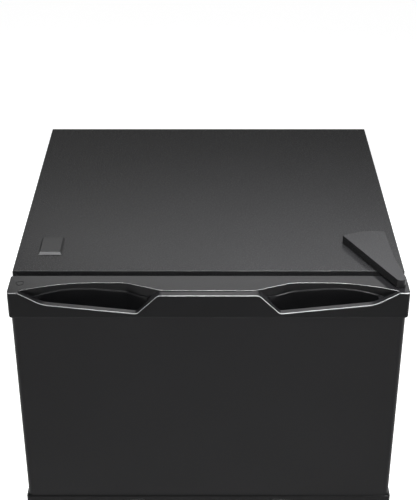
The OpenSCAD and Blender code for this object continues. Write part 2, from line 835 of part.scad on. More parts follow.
// Housing under the fresh food ceiling, with the lamp behind and the dial in front
module control_box() {
    color(liner_white) difference() {
        along_x(-box_half, box_half)
            polygon([[box_y0, fridge_ceiling - clear], [box_y1, fridge_ceiling - clear],
                     [box_y1, box_z + box_slope.y], [box_y1 - box_slope.x, box_z], [box_y0, box_z]]);
        block([-box_half + lens_side, lens_y0, box_z - eps], [box_half - lens_side, lens_y1, box_z + lens_t]);
        translate([dial_x, 0, dial_z]) along_y(box_y0 - eps, box_y0 + spindle_in + 2)
            circle(spindle_r + running);
    }
}

// Clear cover over the lamp, set in the housing's underside
module light_lens() {
    half = box_half - lens_side - clear;
    color([0.97, 0.97, 0.93, 0.7])
        block([-half, lens_y0 + clear, box_z - lens_out], [half, lens_y1 - clear, box_z + lens_t - clear]);
}

// Dial with a pointer rib, on a spindle
module temperature_dial() {
    color([0.75, 0.76, 0.78]) translate([dial_x, 0, dial_z]) {
        along_y(box_y0 - dial_t, box_y0 - clear) circle(dial_r);
        along_y(box_y0 - dial_t - dial_rib.y, box_y0 - dial_t + eps)
            round_rect([-dial_rib.x / 2, -dial_r + 2], [dial_rib.x / 2, dial_r - 2], 2.5);
        along_y(box_y0 - dial_t / 2, box_y0 + spindle_in) circle(spindle_r);
    }
}

tray_side = 95;
tray_up = 76;
tray_d = 196;
tray_set = 12;
tray_x = -in_half + tray_side;
tray_z = freezer_shelf_z + tray_up;
tray_half = 52;
tray_h = 26;
tray_rim = 2;
tray_end = 4;
cup_rows = 4;
cup_floor = 3;
cup_wall = [3.5, 2];
cup_r = 5;
front_journal_r = 6;
rear_journal_r = 4;
knob_r = 13;
knob_grip = [20, 4];
tray_y0 = shelf_y + tray_set;
tray_y1 = tray_y0 + tray_d;
frame_over = 28;
frame_t = 3;
frame_gap = 2;
frame_foot = 16;
frame_head = [22, 18];
frame_rail = 8;
frame_half = tray_half + frame_over;
frame_z = freezer_shelf_z + wire_up + wire_r + clear;

// Stand for the twist tray, with a bearing plate at each end
module ice_frame() {
    color(liner_white) difference() {
        union() {
            for (y = [tray_y0 - frame_gap - frame_t, tray_y1 + frame_gap]) along_y(y, y + frame_t) polygon([
                [tray_x - frame_half, frame_z], [tray_x + frame_half, frame_z],
                [tray_x + frame_half, frame_z + frame_foot], [tray_x + frame_head.x, tray_z + frame_head.y],
                [tray_x - frame_head.x, tray_z + frame_head.y], [tray_x - frame_half, frame_z + frame_foot]]);
            for (s = [-1, 1]) translate([tray_x + s * (frame_half - frame_rail / 2), 0, 0])
                block([-frame_rail / 2, tray_y0 - frame_gap - frame_t + eps, frame_z],
                      [frame_rail / 2, tray_y1 + frame_gap + frame_t - eps, frame_z + frame_rail]);
        }
        translate([tray_x, 0, tray_z]) {
            along_y(tray_y0 - frame_gap - frame_t - eps, tray_y0) circle(front_journal_r + running);
            along_y(tray_y1, tray_y1 + frame_gap + frame_t + eps) circle(rear_journal_r + running);
        }
    }
}

// Tray with two rows of cups, its journals and the knob that twists it
module ice_tray() {
    cell = (tray_d - 2 * tray_end) / cup_rows;
    cup = [tray_half / 2, cell / 2] - cup_wall;
    frame_front = tray_y0 - frame_gap - frame_t;
    color([0.72, 0.8, 0.86]) translate([tray_x, 0, tray_z]) {
        difference() {
            block([-tray_half, tray_y0, -tray_h], [tray_half, tray_y1, tray_rim]);
            for (s = [-1, 1], i = [0 : cup_rows - 1])
                translate([s * tray_half / 2, tray_y0 + tray_end + (i + 0.5) * cell, -tray_h + cup_floor])
                    linear_extrude(tray_h) round_rect(-cup, cup, cup_r);
        }
        along_y(frame_front - 3, tray_y0 + eps) circle(front_journal_r);
        along_y(tray_y1 - eps, tray_y1 + frame_gap + frame_t + eps) circle(rear_journal_r);
        along_y(frame_front - 11, frame_front - clear) circle(knob_r);
        along_y(frame_front - 15, frame_front - 10) round_rect(-knob_grip, knob_grip, knob_grip.y - 1);
    }
}

crisper_under = 9;
crisper_back_gap = 8;
crisper_front_t = 4;
crisper_side = 2.5;
crisper_gap = 4;
grip_side = 12;
grip_out = 10;
grip_h = 14;
grip_t = 2.5;

// One vegetable drawer, between x0 and x1
module crisper(x0, x1) {
    z0 = fridge_floor + clear;
    z1 = shelf_level(0) - trim_lip - crisper_under;
    y1 = step_y - crisper_back_gap;
    r = liner_r + 4;
    grip_y = shelf_y - grip_out;
    color([0.85, 0.9, 0.92, 0.6]) {
        difference() {
            along_y(shelf_y, y1) round_rect([x0, z0], [x1, z1 + r], r);
            along_y(shelf_y + crisper_front_t, y1 - bin_t)
                round_rect([x0 + bin_t, z0 + bin_t], [x1 - bin_t, z1 + r], r - bin_t);
            block([x0 - eps, shelf_y - eps, z1], [x1 + eps, y1 + eps, z1 + 2 * r]);
        }
        along_x(x0 + grip_side, x1 - grip_side) polygon([
            [shelf_y + eps, z1], [grip_y, z1], [grip_y, z1 - grip_h], [grip_y + grip_t, z1 - grip_h],
            [grip_y + grip_t, z1 - grip_t], [shelf_y + eps, z1 - grip_t]]);
    }
}

// Doors

// Outline of the skin's outer face seen from above
module skin_plan(grow) {
    front_round_rect([-half_w + cap_side - grow, door_front + cap_front - grow],
                     [half_w - cap_side + grow, door_back], skin_r + grow);
}

// Sheet steel front with sides and narrow hems at the back
module door_skin(z0, z1) {
    color(charcoal) translate([0, 0, z0 + skin_end]) linear_extrude(z1 - z0 - 2 * skin_end)
        difference() {
            skin_plan(0);
            intersection() {
                skin_plan(-skin_t);
                translate([-half_w, door_front]) square([cabinet_w, door_t - skin_t]);
            }
            translate([-hem_half, door_back - skin_t - eps]) square([2 * hem_half, skin_t + 2 * eps]);
        }
}

rim_y = door_front + rim_t;
back_edge_y = door_front + scoop_back;
scoop_out = half_w - scoop_edge;
// Lengths along the door: the rear edge's slanted stretch, its curved stretch, the rim's outer rise, the
// brow's outer rise, and the pocket's ends to the ramp's foot and to the scoop's outer end
slant_u = 66;
curve_u = 133;
rise_u = 41;
brow_rise_u = 25;
pocket_in_u = 22;
pocket_out_u = 34;
ramp_set = 7;
tip_past = 2;
brow_arch = 13.2;
pocket_set = 2.5;
pocket_r = 9;
slant_r = 45;
ramp_top_r = 12;
ramp_foot_r = 9;
rise_r = 60;
flat_in = scoop_mid + slant_u;
flat_out = scoop_out - curve_u;
sweep_h = back_edge_y - rim_y + tip_past;
sweep_r = (pow(curve_u, 2) + sweep_h * sweep_h) / (2 * sweep_h);
ramp_in = scoop_mid + ramp_set;
low_in = ramp_in + (scoop_low - rim_drop);
low_out = scoop_out - rise_u;
low_out_z = -0.58 * scoop_low;

// Rear edge of one scoop seen from above, from the middle of the door outwards.
// Moving it forwards by set gives the rear wall of the pocket below.
function back_edge(set) = concat(
    fillet([0, rim_y - set], [scoop_mid, rim_y - set], [flat_in, back_edge_y - set], slant_r),
    fillet([scoop_mid, rim_y - set], [flat_in, back_edge_y - set], [flat_out, back_edge_y - set], slant_r),
    [for (i = [0 : 8]) let (u = flat_out + (scoop_out - flat_out) * i / 8)
        [u, back_edge_y - set - sweep_r + sqrt(sweep_r * sweep_r - pow(u - flat_out, 2))]]);

// Top of the front rim seen from the front, from the middle of the door outwards
function rim_edge() = concat(
    fillet([0, -rim_drop], [ramp_in, -rim_drop], [low_in, -scoop_low], ramp_top_r),
    fillet([ramp_in, -rim_drop], [low_in, -scoop_low], [low_out, low_out_z], ramp_foot_r),
    fillet([low_in, -scoop_low], [low_out, low_out_z], [scoop_out, 0], rise_r));

// Narrow ledge on the scoop's rear wall, seen from the front, between the two ramps of the rim
function brow_edge() =
    let (ramp_u = ramp_in + 0.32 * scoop_low, out = scoop_out - brow_rise_u)
    concat([[ramp_in, -rim_drop], [ramp_u, -rim_drop - 0.32 * scoop_low]],
        [for (i = [0 : 10]) let (t = i / 10, u = ramp_u + (out - ramp_u) * t)
            [u, -0.44 * scoop_low * (1 - t) - 0.39 * scoop_low * t + brow_arch * t * sin(180 * t)]],
        [[scoop_out, 0]]);

module full_width(points, close_y) {
    polygon(concat([[-scoop_out, close_y]], mirrored(points), points, [[scoop_out, close_y]]));
}

pocket_in = low_in - pocket_in_u;
pocket_out = scoop_out - pocket_out_u;

// Hollow of one finger pocket seen from above
module pocket_plan() {
    intersection() {
        polygon(concat([[0, rim_y]], back_edge(pocket_set), [[scoop_out, rim_y]]));
        round_rect([pocket_in, rim_y], [pocket_out, back_edge_y + 2 * pocket_r], pocket_r);
    }
}

cup_root = 0.5;

// Outer shape of the cup round a finger pocket
module cup(grow) {
    translate([0, 0, -pocket_z - cup_t - grow]) linear_extrude(pocket_z + cup_t - skin_end + grow + cup_root)
        round_rect([pocket_in - cup_t - grow, rim_y - cup_t - grow],
                   [pocket_out + cup_t + grow, back_edge_y + grow], pocket_r + 2);
}

ring_r = 7;
ring_w = 0.8;
pin_room = 6;

// End cap with two finger scoops. Its outer face is at z = 0 and it reaches down from there.
module end_cap() {
    skirt = half_w - cap_chamfer;
    color(charcoal) difference() {
        intersection() {
            translate([0, 0, -cap_h]) linear_extrude(cap_h)
                round_rect([-half_w, door_front], [half_w, door_back], cap_r);
            along_y(door_front - eps, door_back + eps)
                polygon([[-skirt, -cap_h], [skirt, -cap_h], [half_w, -cap_h + cap_chamfer], [half_w, 0],
                         [-half_w, 0], [-half_w, -cap_h + cap_chamfer]]);
            along_x(-half_w - eps, half_w + eps)
                polygon([[door_front + cap_chamfer / 2, -cap_h], [door_back, -cap_h], [door_back, 0],
                         [door_front, 0], [door_front, -cap_h + cap_chamfer]]);
        }
        translate([0, 0, -cap_h - eps]) linear_extrude(cap_rebate + eps) skin_plan(0);
        block([-hem_half, door_back - panel_t, -cap_h - eps], [hem_half, door_back + eps, -seal_inset / 2]);
        // Front rim, lowered between the ramps
        intersection() {
            along_y(door_front - eps, rim_y) full_width(rim_edge(), eps);
            translate([0, 0, -cap_h]) linear_extrude(cap_h + eps) full_width(back_edge(0), door_front - eps);
        }
        // Space behind the rim down to the ledge on the rear wall
        both_sides() intersection() {
            along_y(rim_y - 0.01, back_edge_y + eps)
                polygon(concat([[ramp_in, eps]], brow_edge(), [[scoop_out, eps]]));
            translate([0, 0, -cap_h]) linear_extrude(cap_h + eps)
                polygon(concat([[0, door_front - eps]], back_edge(0), [[scoop_out, door_front - eps]]));
        }
        both_sides() translate([0, 0, -cap_h]) linear_extrude(cap_h + eps) pocket_plan();
        // Seat for the hinge pin, and the ring of the blanked hole at the other side
        translate([hinge_x, hinge_y, -pin_in - pin_room]) cylinder(r = bore_r, h = pin_in + pin_room + eps);
        translate([-hinge_x, hinge_y, -ring_w]) difference() {
            cylinder(r = ring_r, h = ring_w + eps);
            translate([0, 0, -eps]) cylinder(r = ring_r - ring_w, h = ring_w + 3 * eps);
        }
    }
    color(charcoal) both_sides() difference() {
        cup(0);
        translate([0, 0, -pocket_z]) linear_extrude(pocket_z + eps) pocket_plan();
    }
}

// Insulation of a door, from z0 to z1, hollowed for the cups of both caps
module door_foam(z0, z1) {
    color(foam_cream) difference() {
        translate([0, 0, z0 + skin_end]) linear_extrude(z1 - z0 - 2 * skin_end) difference() {
            intersection() {
                skin_plan(-skin_t);
                translate([-half_w, door_front]) square([cabinet_w, door_t - skin_t]);
            }
            translate([-hem_half, door_back - panel_t]) square([2 * hem_half, panel_t + eps]);
        }
        translate([0, 0, z1]) both_sides() cup(fit);
        translate([0, 0, z0]) mirror([0, 0, 1]) both_sides() cup(fit);
    }
}

// Frame in x and z, from outer half width a to a - w, between heights z0 and z1
module ring(a, z0, z1, w, r) {
    difference() {
        round_rect([-a, z0], [a, z1], r);
        round_rect([-a + w, z0 + w], [a - w, z1 - w], max(r - w, 3));
    }
}

groove_w = 5.2;
groove_d = 2;
groove_r = 6;
seal_r = 8;
dyke_r = 14;

// Inner liner of a door: a flat panel with the gasket's groove, and the raised frame with the bins' lugs
module door_liner(z0, z1, room_z0, room_z1, bins) {
    in = seal_inset + (seal_w - groove_w) / 2;
    color(liner_white) {
        difference() {
            block([-hem_half, door_back - panel_t, z0 + seal_inset / 2],
                  [hem_half, door_back, z1 - seal_inset / 2]);
            along_y(door_back - groove_d, door_back + eps)
                ring(half_w - in, z0 + in, z1 - in, groove_w, groove_r);
        }
        along_y(door_back, dyke_in) ring(dyke_half, room_z0 + dyke_gap, room_z1 - dyke_gap, dyke_w, dyke_r);
        for (z = bins) both_sides()
            block([dyke_half - dyke_w - lug_in, 0, z + lug_up],
                  [dyke_half - dyke_w + eps, lug_d, z + lug_up + lug_h]);
    }
}

seal_base = 3;
seal_magnet = 6;
seal_fold = 4;

// Magnetic bellows seal: its base, its folded wall, the magnet's sleeve, and its push-in foot
module gasket(z0, z1) {
    a = half_w - seal_inset;
    b = z0 + seal_inset;
    c = z1 - seal_inset;
    foot_w = groove_w - 2 * fit;
    neck = (seal_w - foot_w) / 2;
    color([0.09, 0.09, 0.09]) {
        along_y(door_back, door_back + seal_base) ring(a, b, c, seal_w, seal_r);
        along_y(door_back + seal_base, -seal_magnet)
            ring(a - seal_fold, b + seal_fold, c - seal_fold, seal_w - 2 * seal_fold, groove_r);
        along_y(-seal_magnet, -clear) ring(a, b, c, seal_w, seal_r);
        along_y(door_back - groove_d + fit, door_back) ring(a - neck, b + neck, c - neck, foot_w, groove_r);
    }
}

bin_r = 12;
hook_t = 2;
hook_h = 10;
rim_out = 1.5;
rim_h = 5;

// Door bin with a hook at each side that drops over a lug of the liner, and with a rim where it's open
module door_bin(z, h, rim = true) {
    over = z + lug_up + lug_h;
    color([0.85, 0.9, 0.92, 0.6]) {
        tub([-bin_half, bin_back, z], [bin_half, bin_in, z + h], bin_t, bin_r);
        if (rim) translate([0, 0, z + h - rim_h]) linear_extrude(rim_h) difference() {
            round_rect([-bin_half - rim_out, bin_back - rim_out], [bin_half + rim_out, bin_in + rim_out],
                       bin_r + rim_out);
            round_rect([-bin_half + bin_t, bin_back + bin_t],
                       [bin_half - bin_t, bin_in - bin_t], bin_r - bin_t);
        }
        both_sides() {
            block([bin_half - eps, -hook_t, over], [bin_half + lug_in, lug_d + hook_t, over + hook_h]);
            for (y = [-hook_t, lug_d + clear])
                block([bin_half - eps, y, z + lug_up + 2 * hook_t],
                      [bin_half + lug_in, y + hook_t - clear, over + eps]);
        }
    }
}

lid_y = 6;
lid_up = 1.5;
lid_z = fridge_bins[3] + bin_h + lid_up;
lid_r = 4;
lid_top = 3;
lid_under = 0.5;
lid_gap = 0.5;
lid_t = 2.5;
flap_out = 4;
flap_h = 29;
ear_r = 8;

// Dairy bin, whose cheeks carry the lid's pivots
module dairy_bin() {
    z = fridge_bins[3];
    difference() {
        union() {
            door_bin(z, bin_h, false);
            color([0.85, 0.9, 0.92, 0.6]) both_sides() along_x(bin_half - bin_t, bin_half) {
                translate([lid_y - ear_r, z + bin_h - ear_r / 2]) square([2 * ear_r, ear_r / 2 + lid_up]);
                translate([lid_y, lid_z]) circle(ear_r);
            }
        }
        translate([0, lid_y, lid_z]) rotate([0, 90, 0])
            cylinder(r = lid_r / 2 + running, h = 2 * half_w, center = true);
    }
}

// Flip-up lid of the dairy bin
module dairy_lid() {
    x = bin_half - bin_t - lid_gap;
    flap_y = bin_in + flap_out;
    top = lid_z + lid_top;
    color([0.88, 0.92, 0.94, 0.6]) {
        along_x(-x, x)
            polygon([[lid_y + 2, lid_z - 1], [lid_y + 2, top], [flap_y, top], [flap_y, top - flap_h],
                     [flap_y - lid_t, top - flap_h], [flap_y - lid_t, lid_z + lid_under],
                     [lid_y + lid_r + 2, lid_z + lid_under]]);
        translate([0, lid_y, lid_z]) rotate([0, 90, 0]) {
            cylinder(r = lid_r, h = 2 * x, center = true);
            cylinder(r = lid_r / 2, h = 2 * x + 2 * bin_t, center = true);
        }
    }
}

// Hinges

tip_r = 9.5;
cover_side = 22;
cover_back = 122;
cover_long = 101;
cover_back_left = 104;

// Outline of the hinge cover seen from above: a long wedge whose tip lies over the pin, with a rounded
// corner behind it and a bowed rear edge
function cover_outline() =
    let (tip = [hinge_x, hinge_y],
         corner = [half_w - cover_side, cover_back],
         left = [half_w - cover_long, cover_back_left],
         bow = (corner + left) / 2 + [0, 7])
    concat([for (a = [-150 : 15 : 0]) tip + tip_r * [cos(a), sin(a)]], [[half_w - cover_side + 4, 30]],
           fillet([half_w - cover_side + 4, 30], corner, bow, 7), fillet(corner, bow, left, 60), [left]);

module hinge_cover() {
    color(charcoal) translate([0, 0, cabinet_h]) difference() {
        linear_extrude(cover_h) polygon(cover_outline());
        translate([0, 0, -eps]) linear_extrude(cover_h - cover_t + eps)
            offset(delta = -cover_t) polygon(cover_outline());
    }
}

screw_spots = [[half_w - 30, 25], [half_w - 40, 95], [half_w - 80, 95]];
front_screws = [half_w - 70, half_w - 45];
low_screws = [half_w - 75, half_w - 60];
bracket_side = 2;
bracket_tip_r = 12;
bracket_foot_h = 20;
front_screw_up = 13;
screw_h = 2.6;

// Plate on the cabinet's top whose arm carries the freezer door's upper pin
module top_hinge() {
    color(steel) {
        translate([0, 0, cabinet_h]) linear_extrude(plate_t)
            offset(delta = -cover_t - 1) polygon(cover_outline());
        translate([hinge_x, hinge_y, door_top - pin_in])
            cylinder(r = pin_r, h = pin_in + door_drop + 2 * plate_t);
    }
}

// Angle bracket with its plate between two levels and a foot on the cabinet's front
module hinge_bracket(z0, foot_z0, foot_z1) {
    translate([0, 0, z0]) linear_extrude(mid_plate_t) {
        polygon([[half_w - hinge_foot_w, 0], [half_w - bracket_side, 0], [half_w - bracket_side, hinge_y],
                 [hinge_x - bracket_tip_r, hinge_y]]);
        translate([hinge_x, hinge_y]) circle(bracket_tip_r);
    }
    block([half_w - hinge_foot_w, -plate_t, foot_z0], [half_w - bracket_side, 0, foot_z1]);
}

mid_plate_z = split_mid - mid_plate_t / 2;

module middle_hinge() {
    color(steel) {
        hinge_bracket(mid_plate_z, split_mid - bracket_foot_h, split_mid + bracket_foot_h);
        translate([hinge_x, hinge_y, fridge_door_top - pin_in]) cylinder(r = pin_r, h = split_gap + 2 * pin_in);
        translate([hinge_x, hinge_y, mid_plate_z])
            cylinder(r = collar_r, h = freezer_door_z - mid_plate_z - clear);
    }
}

low_hinge_down = 9;

module bottom_hinge() {
    z0 = door_z - low_hinge_down;
    color(steel) {
        hinge_bracket(z0, base_z + 1, bar_top - 1);
        translate([hinge_x, hinge_y, z0]) cylinder(r = pin_r, h = door_z - z0 + pin_in);
        translate([hinge_x, hinge_y, z0]) cylinder(r = collar_r, h = door_z - z0 - clear);
    }
}

// Pan head screw along +Z, its head's underside at z = 0
module screw(head_r = 5) {
    cylinder(r = head_r, h = screw_h);
    translate([0, 0, screw_h - fit]) difference() {
        cylinder(r1 = head_r, r2 = head_r - 1.2, h = 1);
        translate([0, 0, 0.2]) cube([head_r * 1.2, 1, 2], center = true);
    }
}

module hinge_screws() {
    color([0.5, 0.5, 0.52]) {
        for (p = screw_spots) translate([p.x, p.y, cabinet_h + plate_t]) screw();
        for (x = front_screws, dz = [-front_screw_up, front_screw_up])
            translate([x, -plate_t, split_mid + dz]) rotate([90, 0, 0]) screw(4);
        for (x = low_screws) translate([x, -plate_t, bar_top - bar_h / 4]) rotate([90, 0, 0]) screw(4);
    }
}

plug_x = half_w - 60.5;
plug_y = 88;
plug_w = 43;
plug_d = 61;
plug_bevel = 3.5;
plug_r = 7;

// Bevelled plug over the left-hand hinge's screw holes, and two caps on the mullion below it
module blanking_plugs() {
    color(charcoal) {
        translate([-plug_x, plug_y, cabinet_h]) intersection() {
            along_y(-plug_d / 2, plug_d / 2) polygon([[-plug_w / 2, 0], [plug_w / 2, 0],
                [plug_w / 2 - plug_bevel, plug_h], [-plug_w / 2 + plug_bevel, plug_h]]);
            along_x(-plug_w / 2, plug_w / 2) polygon([[-plug_d / 2, 0], [plug_d / 2, 0],
                [plug_d / 2 - plug_bevel, plug_h], [-plug_d / 2 + plug_bevel, plug_h]]);
        }
        for (x = front_screws) translate([-x, 0, split_mid]) along_y(-2, 0) circle(plug_r);
    }
}

// Placing

module from_front() { translate([0, cab_y, 0]) children(); }

from_front() cabinet_wrap();
from_front() cabinet_foam();
from_front() freezer_liner();
from_front() fridge_liner();
from_front() back_panel();
from_front() base_pan();
from_front() kick_plate();
from_front() mullion_rail();
from_front() top_hinge();
from_front() middle_hinge();
from_front() bottom_hinge();
from_front() hinge_screws();
from_front() hinge_cover();
from_front() blanking_plugs();
from_front() compressor();
from_front() compressor_grommets();
from_front() condenser_coil();
from_front() drain_pan();
from_front() machine_room_cover();
from_front() evaporator();
from_front() fan_motor();
from_front() freezer_air_panel();
from_front() fridge_air_duct();
from_front() freezer_shelf();
from_front() shelf_glass(0);  // shelf_glass_1
from_front() shelf_glass(1);  // shelf_glass_2
from_front() shelf_glass(2);  // shelf_glass_3
from_front() shelf_glass(3);  // shelf_glass_4
from_front() shelf_trims();
from_front() cord_gland();
from_front() control_box();
from_front() light_lens();
from_front() ice_frame();
from_front() door_skin(freezer_door_z, door_top);  // freezer_door_skin
from_front() translate([0, 0, door_top]) end_cap();  // freezer_door_top_cap
from_front() translate([0, 0, freezer_door_z]) mirror([0, 0, 1]) end_cap();  // freezer_door_bottom_cap
from_front() door_foam(freezer_door_z, door_top);  // freezer_door_foam
from_front() door_liner(freezer_door_z, door_top, freezer_floor, freezer_ceiling, freezer_bins);  // freezer_door_liner
from_front() gasket(freezer_door_z, door_top);  // freezer_door_gasket
from_front() door_bin(freezer_bins[0], bin_h);  // freezer_bin_lower
from_front() door_bin(freezer_bins[1], bin_h);  // freezer_bin_upper
from_front() door_skin(door_z, fridge_door_top);  // fridge_door_skin
from_front() translate([0, 0, fridge_door_top]) end_cap();  // fridge_door_top_cap
from_front() translate([0, 0, door_z]) mirror([0, 0, 1]) end_cap();  // fridge_door_bottom_cap
from_front() door_foam(door_z, fridge_door_top);  // fridge_door_foam
from_front() door_liner(door_z, fridge_door_top, fridge_floor, fridge_ceiling, fridge_bins);  // fridge_door_liner
from_front() gasket(door_z, fridge_door_top);  // fridge_door_gasket
from_front() door_bin(fridge_bins[0], bottle_h);  // bottle_bin
from_front() door_bin(fridge_bins[1], bin_h);  // door_bin_lower
from_front() door_bin(fridge_bins[2], bin_h);  // door_bin_upper
from_front() dairy_bin();
from_front() dairy_lid();
from_front() crisper(-in_half + crisper_side, -crisper_gap / 2);  // crisper_left
from_front() crisper(crisper_gap / 2, in_half - crisper_side);  // crisper_right
from_front() temperature_dial();
from_front() evaporator_fan();
from_front() ice_tray();
from_front() foot(-foot_x);  // foot_left
from_front() foot(foot_x);  // foot_right
from_front() rear_rollers();
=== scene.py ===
# Freestanding refrigerator with a top freezer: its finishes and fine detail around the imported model.
# All lengths are in metres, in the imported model's frame: +Z up, doors towards -Y, origin on the floor.
import math

import bmesh
import bpy
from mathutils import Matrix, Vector


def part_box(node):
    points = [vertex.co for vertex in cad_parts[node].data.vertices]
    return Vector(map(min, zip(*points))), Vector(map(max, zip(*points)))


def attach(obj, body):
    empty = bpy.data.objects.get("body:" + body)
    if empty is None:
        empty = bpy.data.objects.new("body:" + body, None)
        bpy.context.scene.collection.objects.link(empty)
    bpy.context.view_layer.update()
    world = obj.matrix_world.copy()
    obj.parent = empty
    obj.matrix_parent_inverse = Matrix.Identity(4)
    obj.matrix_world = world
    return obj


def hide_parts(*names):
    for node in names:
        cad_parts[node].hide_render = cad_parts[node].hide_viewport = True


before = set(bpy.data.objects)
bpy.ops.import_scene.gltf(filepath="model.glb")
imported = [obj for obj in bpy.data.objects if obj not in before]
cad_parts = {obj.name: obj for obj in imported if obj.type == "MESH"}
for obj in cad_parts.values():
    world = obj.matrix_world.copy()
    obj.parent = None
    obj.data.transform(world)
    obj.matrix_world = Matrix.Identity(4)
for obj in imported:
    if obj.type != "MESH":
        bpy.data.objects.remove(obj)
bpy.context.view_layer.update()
MM = 0.001

# Camera
# It stands in front of the refrigerator on its middle line, above its top, and looks down at it. Its
# place and lens were solved from the corners of the top, in a frame of 417 by 500.

FOCAL_PX = 1166.7
FRAME_HEIGHT_PX = 500
SENSOR_MM = 36.0
CAMERA_PLACE = (0.0, -2.0578, 2.8481)
CAMERA_PITCH_DEG = 29.87

camera_data = bpy.data.cameras.new("camera")
camera_data.sensor_fit = "VERTICAL"
camera_data.sensor_height = SENSOR_MM
camera_data.lens = FOCAL_PX / FRAME_HEIGHT_PX * SENSOR_MM
camera_data.clip_end = 60.0
camera = bpy.data.objects.new("camera", camera_data)
camera.location = CAMERA_PLACE
camera.rotation_euler = (math.radians(90.0 - CAMERA_PITCH_DEG), 0.0, 0.0)
bpy.context.scene.collection.objects.link(camera)
bpy.context.scene.camera = camera
bpy.context.scene.view_settings.view_transform = "Standard"

# Steel cabinet wrap
# One sheet of pre-painted steel folded into the sides and the top, with a flange turned in round the
# opening. The paint is a satin graphite coil coating with a fine orange peel.

WRAP_GREY = "1C1C1D"
WRAP_GREY_DEEP = "1A1A1B"
FOLD_RADIUS = 1.3 * MM
PEEL, PEEL_DEPTH = 2.2 * MM, 0.0015 * MM

# A finish changes its colour over patches this many grains wide, and most noise lies between these levels
BROAD_GRAINS = 60
NOISE_LOW, NOISE_HIGH = 0.3, 0.7

# An edge that turns by more than this is rounded or stays sharp, and points closer than this are joined
SHARP = math.radians(30.0)
WELD = 0.002 * MM


def hex_rgb(text):
    """Turns an sRGB hex value into linear red, green, blue and 1."""
    parts = [int(text[i:i + 2], 16) / 255 for i in (0, 2, 4)]
    return [p / 12.92 if p <= 0.04045 else ((p + 0.055) / 1.055) ** 2.4 for p in parts] + [1.0]


def add_node(material, kind, settings=None, links=None):
    """Adds a node of that kind. Settings name sockets or properties, and links feed its sockets."""
    node = material.node_tree.nodes.new(kind)
    for name, value in (settings or {}).items():
        if isinstance(name, str) and hasattr(node, name):
            setattr(node, name, value)
        else:
            node.inputs[name].default_value = value
    for name, source in (links or {}).items():
        material.node_tree.links.new(source, node.inputs[name])
    return node


def join(material, source, target):
    """Links an output of one of the material's nodes to an input of another."""
    material.node_tree.links.new(source, target)


def new_material(name, surface):
    """Makes a material whose one surface shader is set on its own sockets."""
    material = bpy.data.materials.new(name)
    material.use_nodes = True
    material.node_tree.nodes.clear()
    shader = add_node(material, "ShaderNodeBsdfPrincipled", surface)
    output = add_node(material, "ShaderNodeOutputMaterial")
    join(material, shader.outputs["BSDF"], output.inputs["Surface"])
    return material, shader


def grain(material, shader, size, depth, colours=None, sheen=None):
    """Gives a surface its grain: bump of that size and depth in metres, a slight change of colour
    between two hex values, and a slight change of roughness between two numbers."""
    place = add_node(material, "ShaderNodeTexCoord")
    fine = add_node(material, "ShaderNodeTexNoise", {"Scale": 1.0 / size, "Detail": 3.0},
                    {"Vector": place.outputs["Object"]})
    bump = add_node(material, "ShaderNodeBump", {"Strength": 1.0, "Distance": depth},
                    {"Height": fine.outputs["Fac"]})
    join(material, bump.outputs["Normal"], shader.inputs["Normal"])
    if colours:
        broad = add_node(material, "ShaderNodeTexNoise", {
            "Scale": 1.0 / (BROAD_GRAINS * size), "Detail": 2.0}, {"Vector": place.outputs["Object"]})
        ramp = add_node(material, "ShaderNodeValToRGB", None, {"Fac": broad.outputs["Fac"]})
        ramp.color_ramp.elements[0].position = NOISE_LOW
        ramp.color_ramp.elements[1].position = NOISE_HIGH
        ramp.color_ramp.elements[0].color = hex_rgb(colours[0])
        ramp.color_ramp.elements[1].color = hex_rgb(colours[1])
        join(material, ramp.outputs["Color"], shader.inputs["Base Color"])
    if sheen:
        spread = add_node(material, "ShaderNodeMapRange", {
            "From Min": NOISE_LOW, "From Max": NOISE_HIGH, "To Min": sheen[0], "To Max": sheen[1]},
            {"Value": fine.outputs["Fac"]})
        join(material, spread.outputs["Result"], shader.inputs["Roughness"])
    return place


def smooth(piece):
    """Smooths a piece's shading except at sharp edges, with flat faces kept flat."""
    for polygon in piece.data.polygons:
        polygon.use_smooth = True
    piece.data.set_sharp_from_angle(angle=SHARP)
    even = piece.modifiers.new("flat_stays_flat", "WEIGHTED_NORMAL")
    even.weight = 100
    even.keep_sharp = True


def dress(node_name, material, edge=0.0, segments=2):
    """Gives a CAD node its material, and rounds its edges over that width."""
    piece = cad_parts[node_name]
    piece.data.materials.clear()
    piece.data.materials.append(material)
    weld = piece.modifiers.new("weld", "WELD")
    weld.merge_threshold = WELD
    if edge:
        bevel = piece.modifiers.new("edges", "BEVEL")
        bevel.width = edge
        bevel.segments = segments
        bevel.limit_method = "ANGLE"
        bevel.angle_limit = SHARP
    smooth(piece)
    return piece


wrap_paint, shader = new_material("coil_coated_steel_graphite", {
    "Roughness": 0.26, "Specular IOR Level": 0.11})
grain(wrap_paint, shader, size=PEEL, depth=PEEL_DEPTH,
      colours=(WRAP_GREY_DEEP, WRAP_GREY), sheen=(0.24, 0.29))

# The faces of the rounded folds are painted a shade paler than the sheet: a painted highlight on every
# fold
FOLD_HIGHLIGHT_GREY = "4E4E4F"
FOLD_HIGHLIGHT_GREY_DEEP = "494A4B"
fold_highlight_paint, shader = new_material("coil_coated_steel_fold_highlight", {
    "Roughness": 0.3, "Specular IOR Level": 0.11})
grain(fold_highlight_paint, shader, size=PEEL, depth=PEEL_DEPTH,
      colours=(FOLD_HIGHLIGHT_GREY_DEEP, FOLD_HIGHLIGHT_GREY), sheen=(0.27, 0.34))
wrap = dress("cabinet_wrap", wrap_paint, edge=FOLD_RADIUS, segments=3)
wrap.data.materials.append(fold_highlight_paint)
# The bevel's faces take the paler paint, which is the painted highlight along the folds
wrap.modifiers["edges"].material = 1

# Sealant in the mitres of the front flange
# A bead of polyurethane sealant, wiped flat, fills each mitred corner of the wrap. It is matt and nearly
# black, partly its own colour and partly painted shade of the slit, so the joint reads as a thin dark
# line.

FLANGE = 18.0 * MM
SHEET = 1.0 * MM

